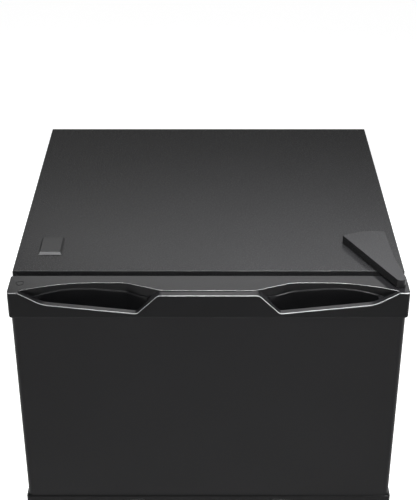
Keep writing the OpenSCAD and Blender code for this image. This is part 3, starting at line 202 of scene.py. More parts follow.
# The bead crosses the flange at 45 degrees. Its face lies a little under the steel, deeper in the middle
MITRE_HALF, DIAGONAL = 0.4 * MM, 0.7
BEAD_DIP, BEAD_RIPPLE, RIPPLE_TURN = 0.12, 0.06, 9
BEAD_HOLLOW = (1.8, 1.9)
BEAD_STOPS = (0.03, 0.35, 0.65, 0.97)
BEAD_BACK = 0.9 * SHEET
wrap_low, wrap_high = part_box("cabinet_wrap")

# Its near-black colour is partly painted shade, standing for the shade inside the slit at the mitre
sealant, shader = new_material("polyurethane_sealant_black_and_painted_shade", {
    "Roughness": 0.7, "Specular IOR Level": 0.1})
grain(sealant, shader, size=0.8 * MM, depth=0.02 * MM,
      colours=("0D0D0E", "131314"), sheen=(0.62, 0.78))


def band(mesh, lower, upper):
    """Joins two rings of as many points by a band of faces, and gives the faces."""
    faces = []
    for i in range(len(lower)):
        j = (i + 1) % len(lower)
        faces.append(mesh.faces.new((lower[i], lower[j], upper[j], upper[i])))
    return faces


def made(name, mesh, *materials):
    """Turns a finished mesh into a piece in the scene, with its faces looking outwards."""
    bmesh.ops.recalc_face_normals(mesh, faces=mesh.faces)
    data = bpy.data.meshes.new(name)
    mesh.to_mesh(data)
    mesh.free()
    piece = bpy.data.objects.new(name, data)
    bpy.context.scene.collection.objects.link(piece)
    for material in materials:
        data.materials.append(material)
    return piece


def ruled(name, material, rows, ends=(True, True)):
    """Builds a piece from closed rows of points, each row joined to the next, and caps its ends."""
    mesh = bmesh.new()
    loops = [[mesh.verts.new(point) for point in row] for row in rows]
    for lower, upper in zip(loops, loops[1:]):
        band(mesh, lower, upper)
    if ends[0]:
        mesh.faces.new(loops[0])
    if ends[1]:
        mesh.faces.new(list(reversed(loops[-1])))
    return made(name, mesh, material)


for side, label in ((-1, "left"), (1, "right")):
    rows = []
    for t in BEAD_STOPS:
        x, z = wrap_high.x - FLANGE * (1 - t), wrap_high.z - FLANGE * (1 - t)
        dip = (BEAD_DIP + BEAD_RIPPLE * math.sin(RIPPLE_TURN * t)) * MM
        section = ((-1, dip), (-0.5, BEAD_HOLLOW[0] * dip), (0.5, BEAD_HOLLOW[1] * dip), (1, dip),
                   (1, BEAD_BACK), (-1, BEAD_BACK))
        half = MITRE_HALF * DIAGONAL
        rows.append([(side * (x + s * half), wrap_low.y + d, z - s * half) for s, d in section])
    bead = ruled(f"mitre_sealant_{label}", sealant, rows)
    smooth(bead)
    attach(bead, "cabinet")

# Door skins
# Pre-painted steel folded round the foam, in the same satin grey as the cabinet but a shade darker. Its
# coating is rougher, so the front shows a broad soft sheen and no sharp reflection.

DOOR_GREY = "161617"
DOOR_GREY_DEEP = "141415"

door_paint, shader = new_material("coil_coated_steel_dark_grey", {
    "Roughness": 0.45, "Specular IOR Level": 0.13})
grain(door_paint, shader, size=PEEL, depth=0.02 * MM,
      colours=(DOOR_GREY_DEEP, DOOR_GREY), sheen=(0.42, 0.5))
for name in ("freezer_door_skin", "fridge_door_skin"):
    dress(name, door_paint)

# End caps
# Injection moulded ABS, dark grey and satin. Each closes one end of a door and holds two finger scoops.
# The mould's edges are rounded, and the front and rear ones carry a painted highlight as a paler thin
# line. Its spark eroded grain is finer than the render shows, so it is drawn coarser than it is.

CAP_GREY = "121213"
CAP_GREY_DEEP = "101011"
CAP_GRAIN = 1.4 * MM
CAP_GRAIN_DEPTH = 0.002 * MM
MERGE = 0.01 * MM

# Middle of the hinge pin's seat, and of the ring of the blanked seat
PIN_X, PIN_Y = 335.0 * MM, -320.7 * MM
RING_X, RING_Y = -331.0 * MM, -313.5 * MM

# From here on the sizes are in millimetres, as are the profiles that they draw. First the whole cap, with
# the chamfer and the lip at the foot of its skirt
cap_low, cap_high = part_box("freezer_door_top_cap")
HALF = cap_high.x / MM
DEPTH = (cap_high.y - cap_low.y) / MM
SKIRT = 51.5
CORNER = 5.0
CHAMFER = 3.0
LIP, LIP_TAPER = 2.2, 0.3

# Room under the cap for the skin and the foam, and behind it for the liner
REBATE = 6.0
SKIN_SIDE, SKIN_FRONT = 4.0, 2.0
SEAT_DEPTH, SEAT_TOP, SEAT_SIDE = 2.6, 8.5, 10.0

# A scoop: where it starts and ends across the door, how far back and how deep it goes, and, from above,
# the rounds of its rear edge and its outer tip
SCOOP_MID, SCOOP_OUT, SCOOP_BACK, SCOOP_LOW = 81.0, 331.5, 35.0, 44.0
REAR_RISE, REAR_FALL, REAR_ROUND = 66.0, 133.0, 45.0
TIP_LEAD, TIP_POINTS = 2.0, 16

# Its front rim: widths, tilt, and how it drops from the middle, runs low and sweeps up to the end
RIM, SCOOP_RIM, RIM_END, RIM_LEAST = 9.1, 7.4, 4.0, 1.0
RIM_TILT = math.tan(math.radians(18.8))
RIM_DROP, RIM_LOW = 5.3, 42.5
RAMP_SET, RAMP_ROUND, LOW_ROUND = 7.0, 12.0, 9.0
SWEEP_SET, SWEEP_SHARE, SWEEP_ROUND = 41.0, 0.565, 60.0

# The ledge on its rear wall, and the pocket for the fingertips between the ledge and the rim
LEDGE_START, LEDGE_SET = 0.32, 25.0
LEDGE_SHARE, LEDGE_SLOPE, LEDGE_ARCH, LEDGE_POINTS = 0.44, 0.05, 13.2, 12
POCKET, POCKET_LEAD, POCKET_END, POCKET_SET = 62.0, 20.5, 34.0, 2.5
POCKET_CORNER, POCKET_LEAST, POCKET_LEAN, CUP_WALL = 5.0, 0.5, 0.6, 2.5

# Radii of the moulded edges
EDGE_FRONT, EDGE_REAR, EDGE_SIDE, EDGE_FLOOR, EDGE_BROW = 1.3, 0.5, 1.2, 4.0, 1.5
EDGE_LEDGE, EDGE_SHELF, EDGE_RIM = 0.4, 0.3, 0.9

# The pin's seat with its lead-in, the ring, and how far their cutters stand above the cap
PIN_SEAT, PIN_DEPTH, SEAT_LEAD = 4.1, 32.0, 0.5
RING_IN, RING_OUT, RING_DEEP, RING_LEAD = 6.2, 7.0, 0.8, 0.3
ABOVE = 0.5

# How finely it is drawn across the door, round its corners, at the pocket's ends and round the bores
STEP_FINE, STEP_WIDE = 1.6, 4.0
BUSY_BEFORE, BUSY_AFTER, BUSY_END = 15.0, 85.0, 60.0
CORNER_STEP_DEG, EDGE_STEP_DEG = 10, 22
POCKET_STOPS = (0.1, 0.3, 0.6)
ARC_SHARE, STRAIGHT = 0.48, 0.01
HAIR = 0.03
ROUND = 40

cap_abs, shader = new_material("moulded_abs_dark_grey", {
    "Roughness": 0.19, "Specular IOR Level": 0.11})
grain(cap_abs, shader, size=CAP_GRAIN, depth=CAP_GRAIN_DEPTH,
      colours=(CAP_GREY_DEEP, CAP_GREY), sheen=(0.175, 0.205))

# The faces of the front and rear edges are painted paler than the other faces: a painted highlight
EDGE_HIGHLIGHT_GREY = "858586"
EDGE_HIGHLIGHT_GREY_DEEP = "7D7D7E"
edge_highlight_abs, shader = new_material("moulded_abs_painted_edge_highlight", {
    "Roughness": 0.3, "Specular IOR Level": 0.15})
grain(edge_highlight_abs, shader, size=CAP_GRAIN, depth=CAP_GRAIN_DEPTH,
      colours=(EDGE_HIGHLIGHT_GREY_DEEP, EDGE_HIGHLIGHT_GREY), sheen=(0.26, 0.34))


def rounded(path, segments=6):
    """Turns a path of (a, b, radius) corners into points, with an arc in place of each corner. A radius
    is cut back where its arc would pass the middle of a side. Each corner gives segments + 1 points."""
    points = []
    for i, (a, b, radius) in enumerate(path):
        here = Vector((a, b))
        before = Vector(path[i - 1][:2]) - here if i else Vector((0, 0))
        after = Vector(path[i + 1][:2]) - here if i + 1 < len(path) else Vector((0, 0))
        turn = before.angle(after, math.pi) if before.length > HAIR and after.length > HAIR else math.pi
        if radius == 0 or turn > math.pi - STRAIGHT:
            points += [here.copy() for _ in range(segments + 1)]
            continue
        reach = min(radius / math.tan(turn / 2), ARC_SHARE * before.length, ARC_SHARE * after.length)
        start, finish = here + before.normalized() * reach, here + after.normalized() * reach
        r = reach * math.tan(turn / 2)
        centre = here + (before.normalized() + after.normalized()).normalized() * r / math.sin(turn / 2)
        u, v = (start - centre).normalized(), (finish - centre).normalized()
        sweep = u.angle(v)
        for k in range(segments + 1):
            t = k / segments
            mixed = u * math.sin((1 - t) * sweep) + v * math.sin(t * sweep)
            points.append(centre + mixed / math.sin(sweep) * r)
    return points


def reading(points):
    """Gives a function that reads b off a line of points (a, b), between them by straight lines."""
    def value(a):
        for p, q in zip(points, points[1:]):
            if p.x <= a <= q.x and q.x > p.x:
                return p.y + (q.y - p.y) * (a - p.x) / (q.x - p.x)
        return points[0].y if a < points[0].x else points[-1].y
    return value


# Rear edge of the scoop seen from above: the distance from the door's front at each place across it
flat_in, flat_out = SCOOP_MID + REAR_RISE, SCOOP_OUT - REAR_FALL
tip = SCOOP_BACK - RIM + TIP_LEAD
sweep_radius = ((SCOOP_OUT - flat_out) ** 2 + tip ** 2) / (2 * tip)
rear_line = rounded([(0, RIM, 0), (SCOOP_MID, RIM, REAR_ROUND), (flat_in, SCOOP_BACK, REAR_ROUND),
                     (flat_out, SCOOP_BACK, 0)])
for i in range(1, TIP_POINTS + 1):
    u = flat_out + (SCOOP_OUT - flat_out) * i / TIP_POINTS
    fall = sweep_radius - math.sqrt(sweep_radius ** 2 - (u - flat_out) ** 2)
    rear_line.append(Vector((u, SCOOP_BACK - fall)))
rear_edge = reading(rear_line)

# Top of the front rim seen from the front: its depth below the cap's top
ramp_in = SCOOP_MID + RAMP_SET
low_in = ramp_in + RIM_LOW - RIM_DROP
low_out = SCOOP_OUT - SWEEP_SET
rim_line = rounded([(0, RIM_DROP, 0), (ramp_in, RIM_DROP, RAMP_ROUND), (low_in, RIM_LOW, LOW_ROUND),
                    (low_out, SWEEP_SHARE * RIM_LOW, SWEEP_ROUND), (SCOOP_OUT, 0, 0)], 8)
rim_depth = reading(rim_line)

# Ledge on the scoop's rear wall: its depth below the cap's top
ledge_in, ledge_out = ramp_in + LEDGE_START * SCOOP_LOW, SCOOP_OUT - LEDGE_SET
rim_rise = RIM * RIM_TILT
ledge_line = [Vector((0, RIM_DROP - rim_rise)), Vector((ramp_in, RIM_DROP - rim_rise)),
              Vector((ledge_in, RIM_DROP - rim_rise + LEDGE_START * SCOOP_LOW))]
for i in range(1, LEDGE_POINTS + 1):
    t = i / LEDGE_POINTS
    deep = SCOOP_LOW * (LEDGE_SHARE - LEDGE_SLOPE * t) - LEDGE_ARCH * math.sin(math.pi * t) * t
    ledge_line.append(Vector((ledge_in + (ledge_out - ledge_in) * t, deep)))
ledge_line.append(Vector((SCOOP_OUT, 0)))
ledge_depth = reading(ledge_line)

pocket_in, pocket_out = low_in - POCKET_LEAD, SCOOP_OUT - POCKET_END


def cap_profile(u):
    """Outline of the cap in y and z, in millimetres from its top front edge, at the distance u from
    the door's middle, and the places in it of the two edges that carry a painted highlight. The number
    of points is the same at every u."""
    inset = CORNER - math.sqrt(max(CORNER ** 2 - max(u - HALF + CORNER, 0) ** 2, 0))
    sink = EDGE_SIDE - math.sqrt(max(EDGE_SIDE ** 2 - max(u - HALF + EDGE_SIDE, 0) ** 2, 0))
    front, back, top = inset, DEPTH - inset, -sink
    slant = max(u - HALF + CHAMFER, 0)
    bottom = -SKIRT + slant
    lip = bottom + max(LIP - slant, 0)
    rear, rim, ledge = max(rear_edge(u), inset + RIM_LEAST), rim_depth(u), ledge_depth(u)
    if u >= SCOOP_OUT:
        rim = ledge = 0.0
    wide = RIM + (SCOOP_RIM - RIM) * min(max((u - ramp_in) / (low_in - ramp_in), 0), 1)
    inner = min(wide, rear, rim / RIM_TILT) if rim > 0 else min(rear, front + RIM_END)
    inner_z = -(rim - inner * RIM_TILT) if rim > 0 else 0.0
    shelf = max(ledge, -inner_z)
    gap_front = gap_back = (inner + rear) / 2
    floor = brow = shelf
    if pocket_in < u < pocket_out:
        near = min(u - pocket_in, pocket_out - u, POCKET_CORNER)
        round_off = POCKET_CORNER - math.sqrt(POCKET_CORNER ** 2 - (POCKET_CORNER - near) ** 2)
        gap_front, gap_back = inner + round_off, rear - POCKET_SET - POCKET_LEAN * round_off
        floor, brow = POCKET, ledge
        if gap_back - gap_front < POCKET_LEAST:
            gap_front = gap_back = (inner + rear) / 2
            floor = brow = shelf
    skin_z = -SKIRT + REBATE
    skin_y = max(SKIN_FRONT, front + CHAMFER / 2)
    seat_y = back - (SEAT_DEPTH if u < HALF - SEAT_SIDE else 0)
    under = skin_z if u < HALF - SKIN_SIDE else bottom
    low = -POCKET - CUP_WALL if pocket_in - CUP_WALL < u < pocket_out + CUP_WALL else under
    corners = [
        (back, top, 0), (rear, top, EDGE_REAR), (rear, top - brow, EDGE_LEDGE),
        (gap_back, top - brow, EDGE_BROW), (gap_back, -floor, EDGE_FLOOR),
        (gap_front, -floor, EDGE_FLOOR), (gap_front, top - shelf, EDGE_SHELF),
        (inner, top - shelf, EDGE_SHELF), (inner, top + inner_z, EDGE_RIM),
        (front, top - rim, EDGE_FRONT), (front, lip, 0),
        (front + CHAMFER / 2, max(lip - LIP_TAPER, bottom), 0), (skin_y, bottom, 0), (skin_y, under, 0),
        (RIM - CUP_WALL, under, 0), (RIM - CUP_WALL, low, 0),
        (SCOOP_BACK, low, 0), (SCOOP_BACK, under, 0),
        (seat_y, under, 0), (seat_y, top - SEAT_TOP, 0), (back, top - SEAT_TOP, 0),
    ]
    points, pale = [], []
    for i, corner in enumerate(corners):
        radius = corner[2]
        segments = 4 if radius in (EDGE_FLOOR, EDGE_BROW) else 1
        if radius in (EDGE_FRONT, EDGE_REAR):
            pale.append(len(points))
        if radius:
            arc = rounded([corners[i - 1], corner, corners[(i + 1) % len(corners)]], segments)
            points += arc[segments + 1:2 * (segments + 1)]
        else:
            points.append(Vector(corner[:2]))
    return points, pale


def cap_stations():
    """Distances from the door's middle at which the cap's profile is drawn, closer where it changes."""
    stops = {0.0, HALF}
    u = 0.0
    while u < HALF:
        busy = SCOOP_MID - BUSY_BEFORE < u < SCOOP_MID + BUSY_AFTER or SCOOP_OUT - BUSY_END < u
        u += STEP_FINE if busy else STEP_WIDE
        stops.add(min(u, HALF))
    for edge in (pocket_in, pocket_out, pocket_in - CUP_WALL, pocket_out + CUP_WALL, HALF - SKIN_SIDE,
                 HALF - SEAT_SIDE):
        stops |= {edge - HAIR, edge + HAIR}
    stops |= {HALF - CORNER * (1 - math.sin(math.radians(a))) for a in range(0, 91, CORNER_STEP_DEG)}
    stops |= {HALF - EDGE_SIDE * (1 - math.sin(math.radians(a))) for a in range(0, 91, EDGE_STEP_DEG)}
    for share in POCKET_STOPS:
        stops |= {pocket_in + POCKET_CORNER * share, pocket_out - POCKET_CORNER * share}
    half = sorted(stops)
    return [-u for u in reversed(half[1:])] + half


def bore(piece, top_z, sign):
    """Cuts the seat of the hinge pin on the right, and the ring of the blanked seat on the left."""
    pin_seat = [(0, ABOVE), (PIN_SEAT + SEAT_LEAD, ABOVE), (PIN_SEAT + SEAT_LEAD, 0),
                (PIN_SEAT, -SEAT_LEAD), (PIN_SEAT, -PIN_DEPTH), (0, -PIN_DEPTH)]
    blank_ring = [(RING_IN - RING_LEAD, ABOVE), (RING_OUT + RING_LEAD, ABOVE), (RING_OUT + RING_LEAD, 0),
                  (RING_OUT, -RING_LEAD), (RING_OUT, -RING_DEEP), (RING_IN, -RING_DEEP),
                  (RING_IN, -RING_LEAD), (RING_IN - RING_LEAD, 0)]
    for x, y, outline in ((PIN_X, PIN_Y, pin_seat), (RING_X, RING_Y, blank_ring)):
        cutter = bmesh.new()
        rings = [[cutter.verts.new((x + r * MM * math.cos(math.tau * i / ROUND),
                                    y + r * MM * math.sin(math.tau * i / ROUND), top_z + sign * z * MM))
                  for i in range(ROUND)] for r, z in outline if r]
        for lower, upper in zip(rings, rings[1:]):
            band(cutter, lower, upper)
        if outline is blank_ring:
            band(cutter, rings[-1], rings[0])
        else:
            cutter.faces.new(rings[0])
            cutter.faces.new(list(reversed(rings[-1])))
        tool = made("cutter", cutter)
        cut = piece.modifiers.new("cut", "BOOLEAN")
        cut.operation = "DIFFERENCE"
        cut.solver = "EXACT"
        cut.object = tool
        cut_piece = piece.evaluated_get(bpy.context.evaluated_depsgraph_get())
        solid = bpy.data.meshes.new_from_object(cut_piece)
        piece.modifiers.remove(cut)
        tool_mesh = tool.data
        bpy.data.objects.remove(tool)
        bpy.data.meshes.remove(tool_mesh)
        piece.data = solid


def end_cap(name, body, node, top_z, upright):
    """Builds one end cap in place of its CAD node, with its outer face at the height top_z."""
    mesh = bmesh.new()
    rows = []
    sign = 1 if upright else -1
    for x in cap_stations():
        rows.append([mesh.verts.new((x * MM, cap_low.y + p.x * MM, top_z + sign * p.y * MM))
                     for p in cap_profile(abs(x))[0]])
    pale = cap_profile(0)[1]
    for lower, upper in zip(rows, rows[1:]):
        faces = band(mesh, lower, upper)
        # These faces take the paler material: the painted highlight along the front and rear edges
        for i in pale:
            faces[i].material_index = 1
    mesh.faces.new(rows[0])
    mesh.faces.new(list(reversed(rows[-1])))
    bmesh.ops.remove_doubles(mesh, verts=mesh.verts, dist=MERGE)
    bmesh.ops.dissolve_degenerate(mesh, edges=mesh.edges, dist=MERGE)
    piece = made(name, mesh, cap_abs, edge_highlight_abs)
    bore(piece, top_z, sign)
    smooth(piece)
    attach(piece, body)
    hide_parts(node)


for door in ("freezer_door", "fridge_door"):
    for end, upright in (("top", True), ("bottom", False)):
        low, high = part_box(f"{door}_{end}_cap")
        outer_z = high.z if upright else low.z
        end_cap(f"{door}_{end}_moulding", door, f"{door}_{end}_cap", outer_z, upright)

# Hinge cover
# A wedge of injection moulded ABS snapped over the top hinge. It is a shade lighter than the caps and
# satin, with a softly broken top edge.

cover_abs, shader = new_material("moulded_abs_grey", {"Roughness": 0.26, "Specular IOR Level": 0.12})
grain(cover_abs, shader, size=CAP_GRAIN, depth=CAP_GRAIN_DEPTH,
      colours=("202021", "232324"), sheen=(0.23, 0.29))
dress("hinge_cover", cover_abs, edge=0.9 * MM, segments=1)

# Blanking plugs, divider's front rail, toe grille and fan motor
# All are moulded in the caps' dark ABS. Each plug closes a spare hinge place, and its sloping front edge
# carries a painted highlight. The rail joins the fronts of the two compartments.

PLUG_HIGHLIGHT_GREY = "656566"
SLOPE_UP = (0, -0.707, 0.707)
SLOPE_LEAST, SLOPE_FULL = 0.86, 0.9

plug_abs, shader = new_material("moulded_abs_plug", {
    "Roughness": 0.19, "Specular IOR Level": 0.09})
grain(plug_abs, shader, size=CAP_GRAIN, depth=CAP_GRAIN_DEPTH, sheen=(0.175, 0.205))
# The faces that look up and forwards are painted paler: a painted highlight on the sloping edge
face = add_node(plug_abs, "ShaderNodeNewGeometry")
leans = add_node(plug_abs, "ShaderNodeVectorMath", {"operation": "DOT_PRODUCT", 1: SLOPE_UP},
                 {0: face.outputs["True Normal"]})
plug_highlight_ramp = add_node(plug_abs, "ShaderNodeValToRGB", None, {"Fac": leans.outputs["Value"]})
plug_highlight_ramp.color_ramp.elements[0].position = SLOPE_LEAST
plug_highlight_ramp.color_ramp.elements[1].position = SLOPE_FULL
plug_highlight_ramp.color_ramp.elements[0].color = hex_rgb(CAP_GREY)
plug_highlight_ramp.color_ramp.elements[1].color = hex_rgb(PLUG_HIGHLIGHT_GREY)
join(plug_abs, plug_highlight_ramp.outputs["Color"], shader.inputs["Base Color"])
dress("blanking_plugs", plug_abs, edge=0.3 * MM)
dress("mullion_rail", cap_abs)
dress("kick_plate", cap_abs, edge=0.5 * MM)
dress("fan_motor", cap_abs)

# Liners
# Each is one sheet of high impact polystyrene, vacuum formed over a mould and then foamed into place.
# It is satin white, with the soft waviness of thermoforming.

LINER_WHITE = "E9EBEC"
LINER_SHADE = "E2E5E7"

liner_hips, shader = new_material("thermoformed_polystyrene_white", {
    "Roughness": 0.3, "Specular IOR Level": 0.5})
grain(liner_hips, shader, size=9 * MM, depth=0.05 * MM,
      colours=(LINER_SHADE, LINER_WHITE), sheen=(0.26, 0.36))
for name in ("freezer_liner", "fridge_liner"):
    dress(name, liner_hips, edge=1.0 * MM)
for name in ("freezer_door_liner", "fridge_door_liner"):
    dress(name, liner_hips, edge=2.0 * MM, segments=3)

# White mouldings
# Injection moulded polystyrene for the air panel, the duct, the control box, the ice stand and the fan's
# blades. It is a matt white, and its fine mould grain is drawn coarser than it is, so that it shows.

white_ps, shader = new_material("moulded_polystyrene_white", {
    "Roughness": 0.38, "Specular IOR Level": 0.5})
grain(white_ps, shader, size=1.2 * MM, depth=0.01 * MM,
      colours=("E4E6E8", "ECEEEF"), sheen=(0.34, 0.42))
for name in ("freezer_air_panel", "fridge_air_duct", "control_box", "ice_frame"):
    dress(name, white_ps, edge=0.8 * MM)
dress("evaporator_fan", white_ps)

# Foam
# Rigid polyurethane, foamed in place between skin and liner. It is cream coloured and quite matt, with
# fine cells, and shows only where nothing covers it.

pu_foam, shader = new_material("polyurethane_foam", {"Roughness": 0.9})
grain(pu_foam, shader, size=3 * MM, depth=0.4 * MM, colours=("CBBE8E", "D9CEA2"))
for name in ("cabinet_foam", "freezer_door_foam", "fridge_door_foam"):
    dress(name, pu_foam)

# Back panel, base pan, machine room cover, hinges and screws
# Galvanised sheet steel, cut, pressed and held by screws. The spangle of its zinc gives it a mottled
# dull shine.

ZINC_LIGHT = "A9ACB0"
ZINC_DARK = "999CA0"
SPANGLE = 9 * MM

zinc_steel, shader = new_material("galvanised_steel", {"Metallic": 1.0, "Roughness": 0.45})
place = grain(zinc_steel, shader, size=2 * MM, depth=0.01 * MM)
spangle = add_node(zinc_steel, "ShaderNodeTexVoronoi", {"Scale": 1.0 / SPANGLE},
                   {"Vector": place.outputs["Object"]})
tone = add_node(zinc_steel, "ShaderNodeSeparateColor", None, {"Color": spangle.outputs["Color"]})
ramp = add_node(zinc_steel, "ShaderNodeValToRGB", None, {"Fac": tone.outputs["Red"]})
ramp.color_ramp.elements[0].color = hex_rgb(ZINC_DARK)
ramp.color_ramp.elements[1].color = hex_rgb(ZINC_LIGHT)
join(zinc_steel, ramp.outputs["Color"], shader.inputs["Base Color"])
spread = add_node(zinc_steel, "ShaderNodeMapRange", {"To Min": 0.42, "To Max": 0.54},
                  {"Value": tone.outputs["Green"]})
join(zinc_steel, spread.outputs["Result"], shader.inputs["Roughness"])
for name in ("back_panel", "top_hinge", "middle_hinge", "bottom_hinge"):
    dress(name, zinc_steel, edge=0.4 * MM)
for name in ("base_pan", "machine_room_cover"):
    dress(name, zinc_steel)
dress("hinge_screws", zinc_steel, edge=0.2 * MM)

# Side strips of the machine room
# A strip of the same zinc coated steel on each side of the cover, screwed over the edge of the foam. A
# pressed bead down its middle stiffens it.

JAMB_SHEET = 0.7 * MM
JAMB_BEAD = 2.5 * MM
JAMB_FACE, JAMB_HOLLOW = 0.1 * MM, 0.45 * MM
JAMB_IN, JAMB_OUT = 0.4 * MM, 0.1 * MM
JAMB_LOW, JAMB_HIGH = 1 * MM, 0.2 * MM
back_low, back_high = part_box("back_panel")
room_low, room_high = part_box("machine_room_cover")
wrap_inside = wrap_high.x - SHEET

for side, label in ((-1, "left"), (1, "right")):
    inner, outer = room_high.x + JAMB_IN, wrap_inside - JAMB_OUT
    middle = (inner + outer) / 2
    face, hollow = back_high.y - JAMB_FACE, back_high.y - JAMB_HOLLOW
    section = [(inner, face), (middle - JAMB_BEAD, face), (middle - 0.5 * JAMB_BEAD, hollow),
               (middle + 0.5 * JAMB_BEAD, hollow), (middle + JAMB_BEAD, face), (outer, face),
               (outer, face - JAMB_SHEET), (inner, face - JAMB_SHEET)]
    rows = [[(side * x, y, z) for x, y in section]
            for z in (wrap_low.z + JAMB_LOW, back_low.z - JAMB_HIGH)]
    strip = ruled(f"machine_room_strip_{label}", zinc_steel, rows)
    smooth(strip)
    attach(strip, "cabinet")

# Screws of the machine room cover
# Zinc plated steel screws with a cold formed hexagon head on a round flange, driven through the cover's
# margin, four above and four below. They stop at different turns.

HEAD_ACROSS, HEAD_HIGH = 5.5 * MM, 1.9 * MM
HEAD_CORNER = HEAD_ACROSS / math.sqrt(3)
FLANGE_R, FLANGE_HIGH = 4.4 * MM, 0.5 * MM
SCREW_INSET = 7 * MM
SCREW_PLACES = (-1, -0.34, 0.34, 1)
SCREW_TURN = 0.7
SCREW_ROUND = 30


def hex_screw(name, x, y, z, turn):
    """Builds a screw's flanged hexagon head that stands out of a face looking towards +Y. A ring without
    a radius follows the hexagon."""
    mesh = bmesh.new()
    rings = []
    for rise, radius in ((0, FLANGE_R), (0.6 * FLANGE_HIGH, FLANGE_R), (FLANGE_HIGH, 0.93 * FLANGE_R),
                         (FLANGE_HIGH, None), (0.9 * HEAD_HIGH, None), (HEAD_HIGH, 0.86 * HEAD_CORNER),
                         (0.85 * HEAD_HIGH, 0.6 * HEAD_CORNER)):
        ring = []
        for i in range(SCREW_ROUND):
            a = math.tau * i / SCREW_ROUND
            off_flat = (a + math.pi / 6) % (math.pi / 3) - math.pi / 6
            hexagon = HEAD_CORNER * math.cos(math.pi / 6) / math.cos(off_flat)
            r = radius or hexagon
            across, up = r * math.cos(a + turn), r * math.sin(a + turn)
            ring.append(mesh.verts.new((x + across, y + rise, z + up)))
        rings.append(ring)
    for lower, upper in zip(rings, rings[1:]):
        band(mesh, lower, upper)
    mesh.faces.new(rings[0])
    mesh.faces.new(list(reversed(rings[-1])))
    piece = made(name, mesh, zinc_steel)
    smooth(piece)
    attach(piece, "cabinet")


for level, z in (("low", room_low.z + SCREW_INSET), ("high", room_high.z - SCREW_INSET)):
    for i, share in enumerate(SCREW_PLACES):
        x = share * (room_high.x - SCREW_INSET)
        hex_screw(f"cover_screw_{level}_{i + 1}", x, room_high.y, z, SCREW_TURN * i + share)

# Compressor and condenser
# A pressed steel shell and a coil of brazed steel tube, both under black stoving enamel, which is glossy
# with a slight orange peel.

black_enamel, shader = new_material("stoving_enamel_black", {
    "Base Color": hex_rgb("161617"), "Roughness": 0.28, "Coat Weight": 0.3, "Coat Roughness": 0.15})
grain(black_enamel, shader, size=3 * MM, depth=0.03 * MM,
      colours=("131314", "1A1A1B"), sheen=(0.25, 0.33))
dress("compressor", black_enamel, edge=0.6 * MM)
dress("condenser_coil", black_enamel)

# Seals, grommets and cord gland
# Extruded flexible vinyl round the back of each door, and moulded rubber under the compressor and where
# the cord leaves. Both are dark and matt with a fine bloom.

seal_vinyl, shader = new_material("extruded_vinyl_dark", {"Roughness": 0.62, "Specular IOR Level": 0.4})
grain(seal_vinyl, shader, size=1.5 * MM, depth=0.02 * MM,
      colours=("2A2A2B", "313132"), sheen=(0.55, 0.7))
for name in ("freezer_door_gasket", "fridge_door_gasket", "compressor_grommets", "cord_gland"):
    dress(name, seal_vinyl)

# Evaporator
# Fins of rolled aluminium sheet pressed on an aluminium tube, all of it bare, so it shines dully and a
# little unevenly.

fin_aluminium, shader = new_material("rolled_aluminium", {"Metallic": 1.0, "Roughness": 0.35})
grain(fin_aluminium, shader, size=1 * MM, depth=0.01 * MM,
      colours=("C9CBCE", "D5D7D9"), sheen=(0.3, 0.42))
dress("evaporator", fin_aluminium)

# Wire shelf
# Welded steel wire dipped in white plastic. The coating rounds the joints, hides the welds and shines
# softly.

coated_wire, shader = new_material("dip_coated_wire_white", {"Roughness": 0.33})
grain(coated_wire, shader, size=2 * MM, depth=0.02 * MM,
      colours=("E3E6E8", "EEF0F1"), sheen=(0.28, 0.38))
dress("freezer_shelf", coated_wire)

# Glass shelves
# Float glass, cut, ground and toughened, clear with the green of its iron. Wiping leaves it a very
# slight haze.

float_glass, shader = new_material("toughened_float_glass", {
    "Base Color": hex_rgb("F0F9F6"), "Roughness": 0.02, "IOR": 1.52, "Transmission Weight": 1.0})
place = add_node(float_glass, "ShaderNodeTexCoord")
haze = add_node(float_glass, "ShaderNodeTexNoise", {"Scale": 30.0, "Detail": 3.0},
                {"Vector": place.outputs["Object"]})
spread = add_node(float_glass, "ShaderNodeMapRange", {"To Min": 0.01, "To Max": 0.05},
                  {"Value": haze.outputs["Fac"]})
join(float_glass, spread.outputs["Result"], shader.inputs["Roughness"])
for i in (1, 2, 3, 4):
    dress(f"shelf_glass_{i}", float_glass)

# Shelf trims and dial
# Injection moulded ABS in a satin pale grey. The trims clip on the glass, and the dial turns on the
# control box. Their mould grain is drawn coarser than it is, so that it shows.

trim_abs, shader = new_material("moulded_abs_pale_grey", {"Roughness": 0.36})
grain(trim_abs, shader, size=1.2 * MM, depth=0.01 * MM,
      colours=("C3C7CB", "CED2D5"), sheen=(0.32, 0.42))
dress("shelf_trims", trim_abs, edge=0.5 * MM)
dress("temperature_dial", trim_abs, edge=0.6 * MM)

# Bins and crispers
# Injection moulded crystal polystyrene, clear with a cool tint. It bends light more than window glass
# does, so its rims and edges show bright.

clear_ps, shader = new_material("moulded_crystal_polystyrene", {
    "Base Color": hex_rgb("F1F6F8"), "Roughness": 0.1, "IOR": 1.57, "Transmission Weight": 0.95})
grain(clear_ps, shader, size=14 * MM, depth=0.03 * MM,
      colours=("EEF4F7", "F5F9FA"), sheen=(0.07, 0.14))
for name in ("freezer_bin_lower", "freezer_bin_upper", "bottle_bin", "door_bin_lower", "door_bin_upper",
             "dairy_bin", "dairy_lid", "crisper_left", "crisper_right"):
    dress(name, clear_ps, edge=0.6 * MM)

# Ice tray
# Injection moulded polypropylene, thin enough to twist. It is pale blue and waxy, and a little light goes
# into it.

blue_pp, shader = new_material("moulded_polypropylene_pale_blue", {
    "Roughness": 0.42, "Subsurface Weight": 0.1, "Subsurface Scale": 0.004})
grain(blue_pp, shader, size=2 * MM, depth=0.02 * MM,
      colours=("B4C8D6", "BFD1DD"), sheen=(0.36, 0.46))
dress("ice_tray", blue_pp, edge=0.8 * MM)

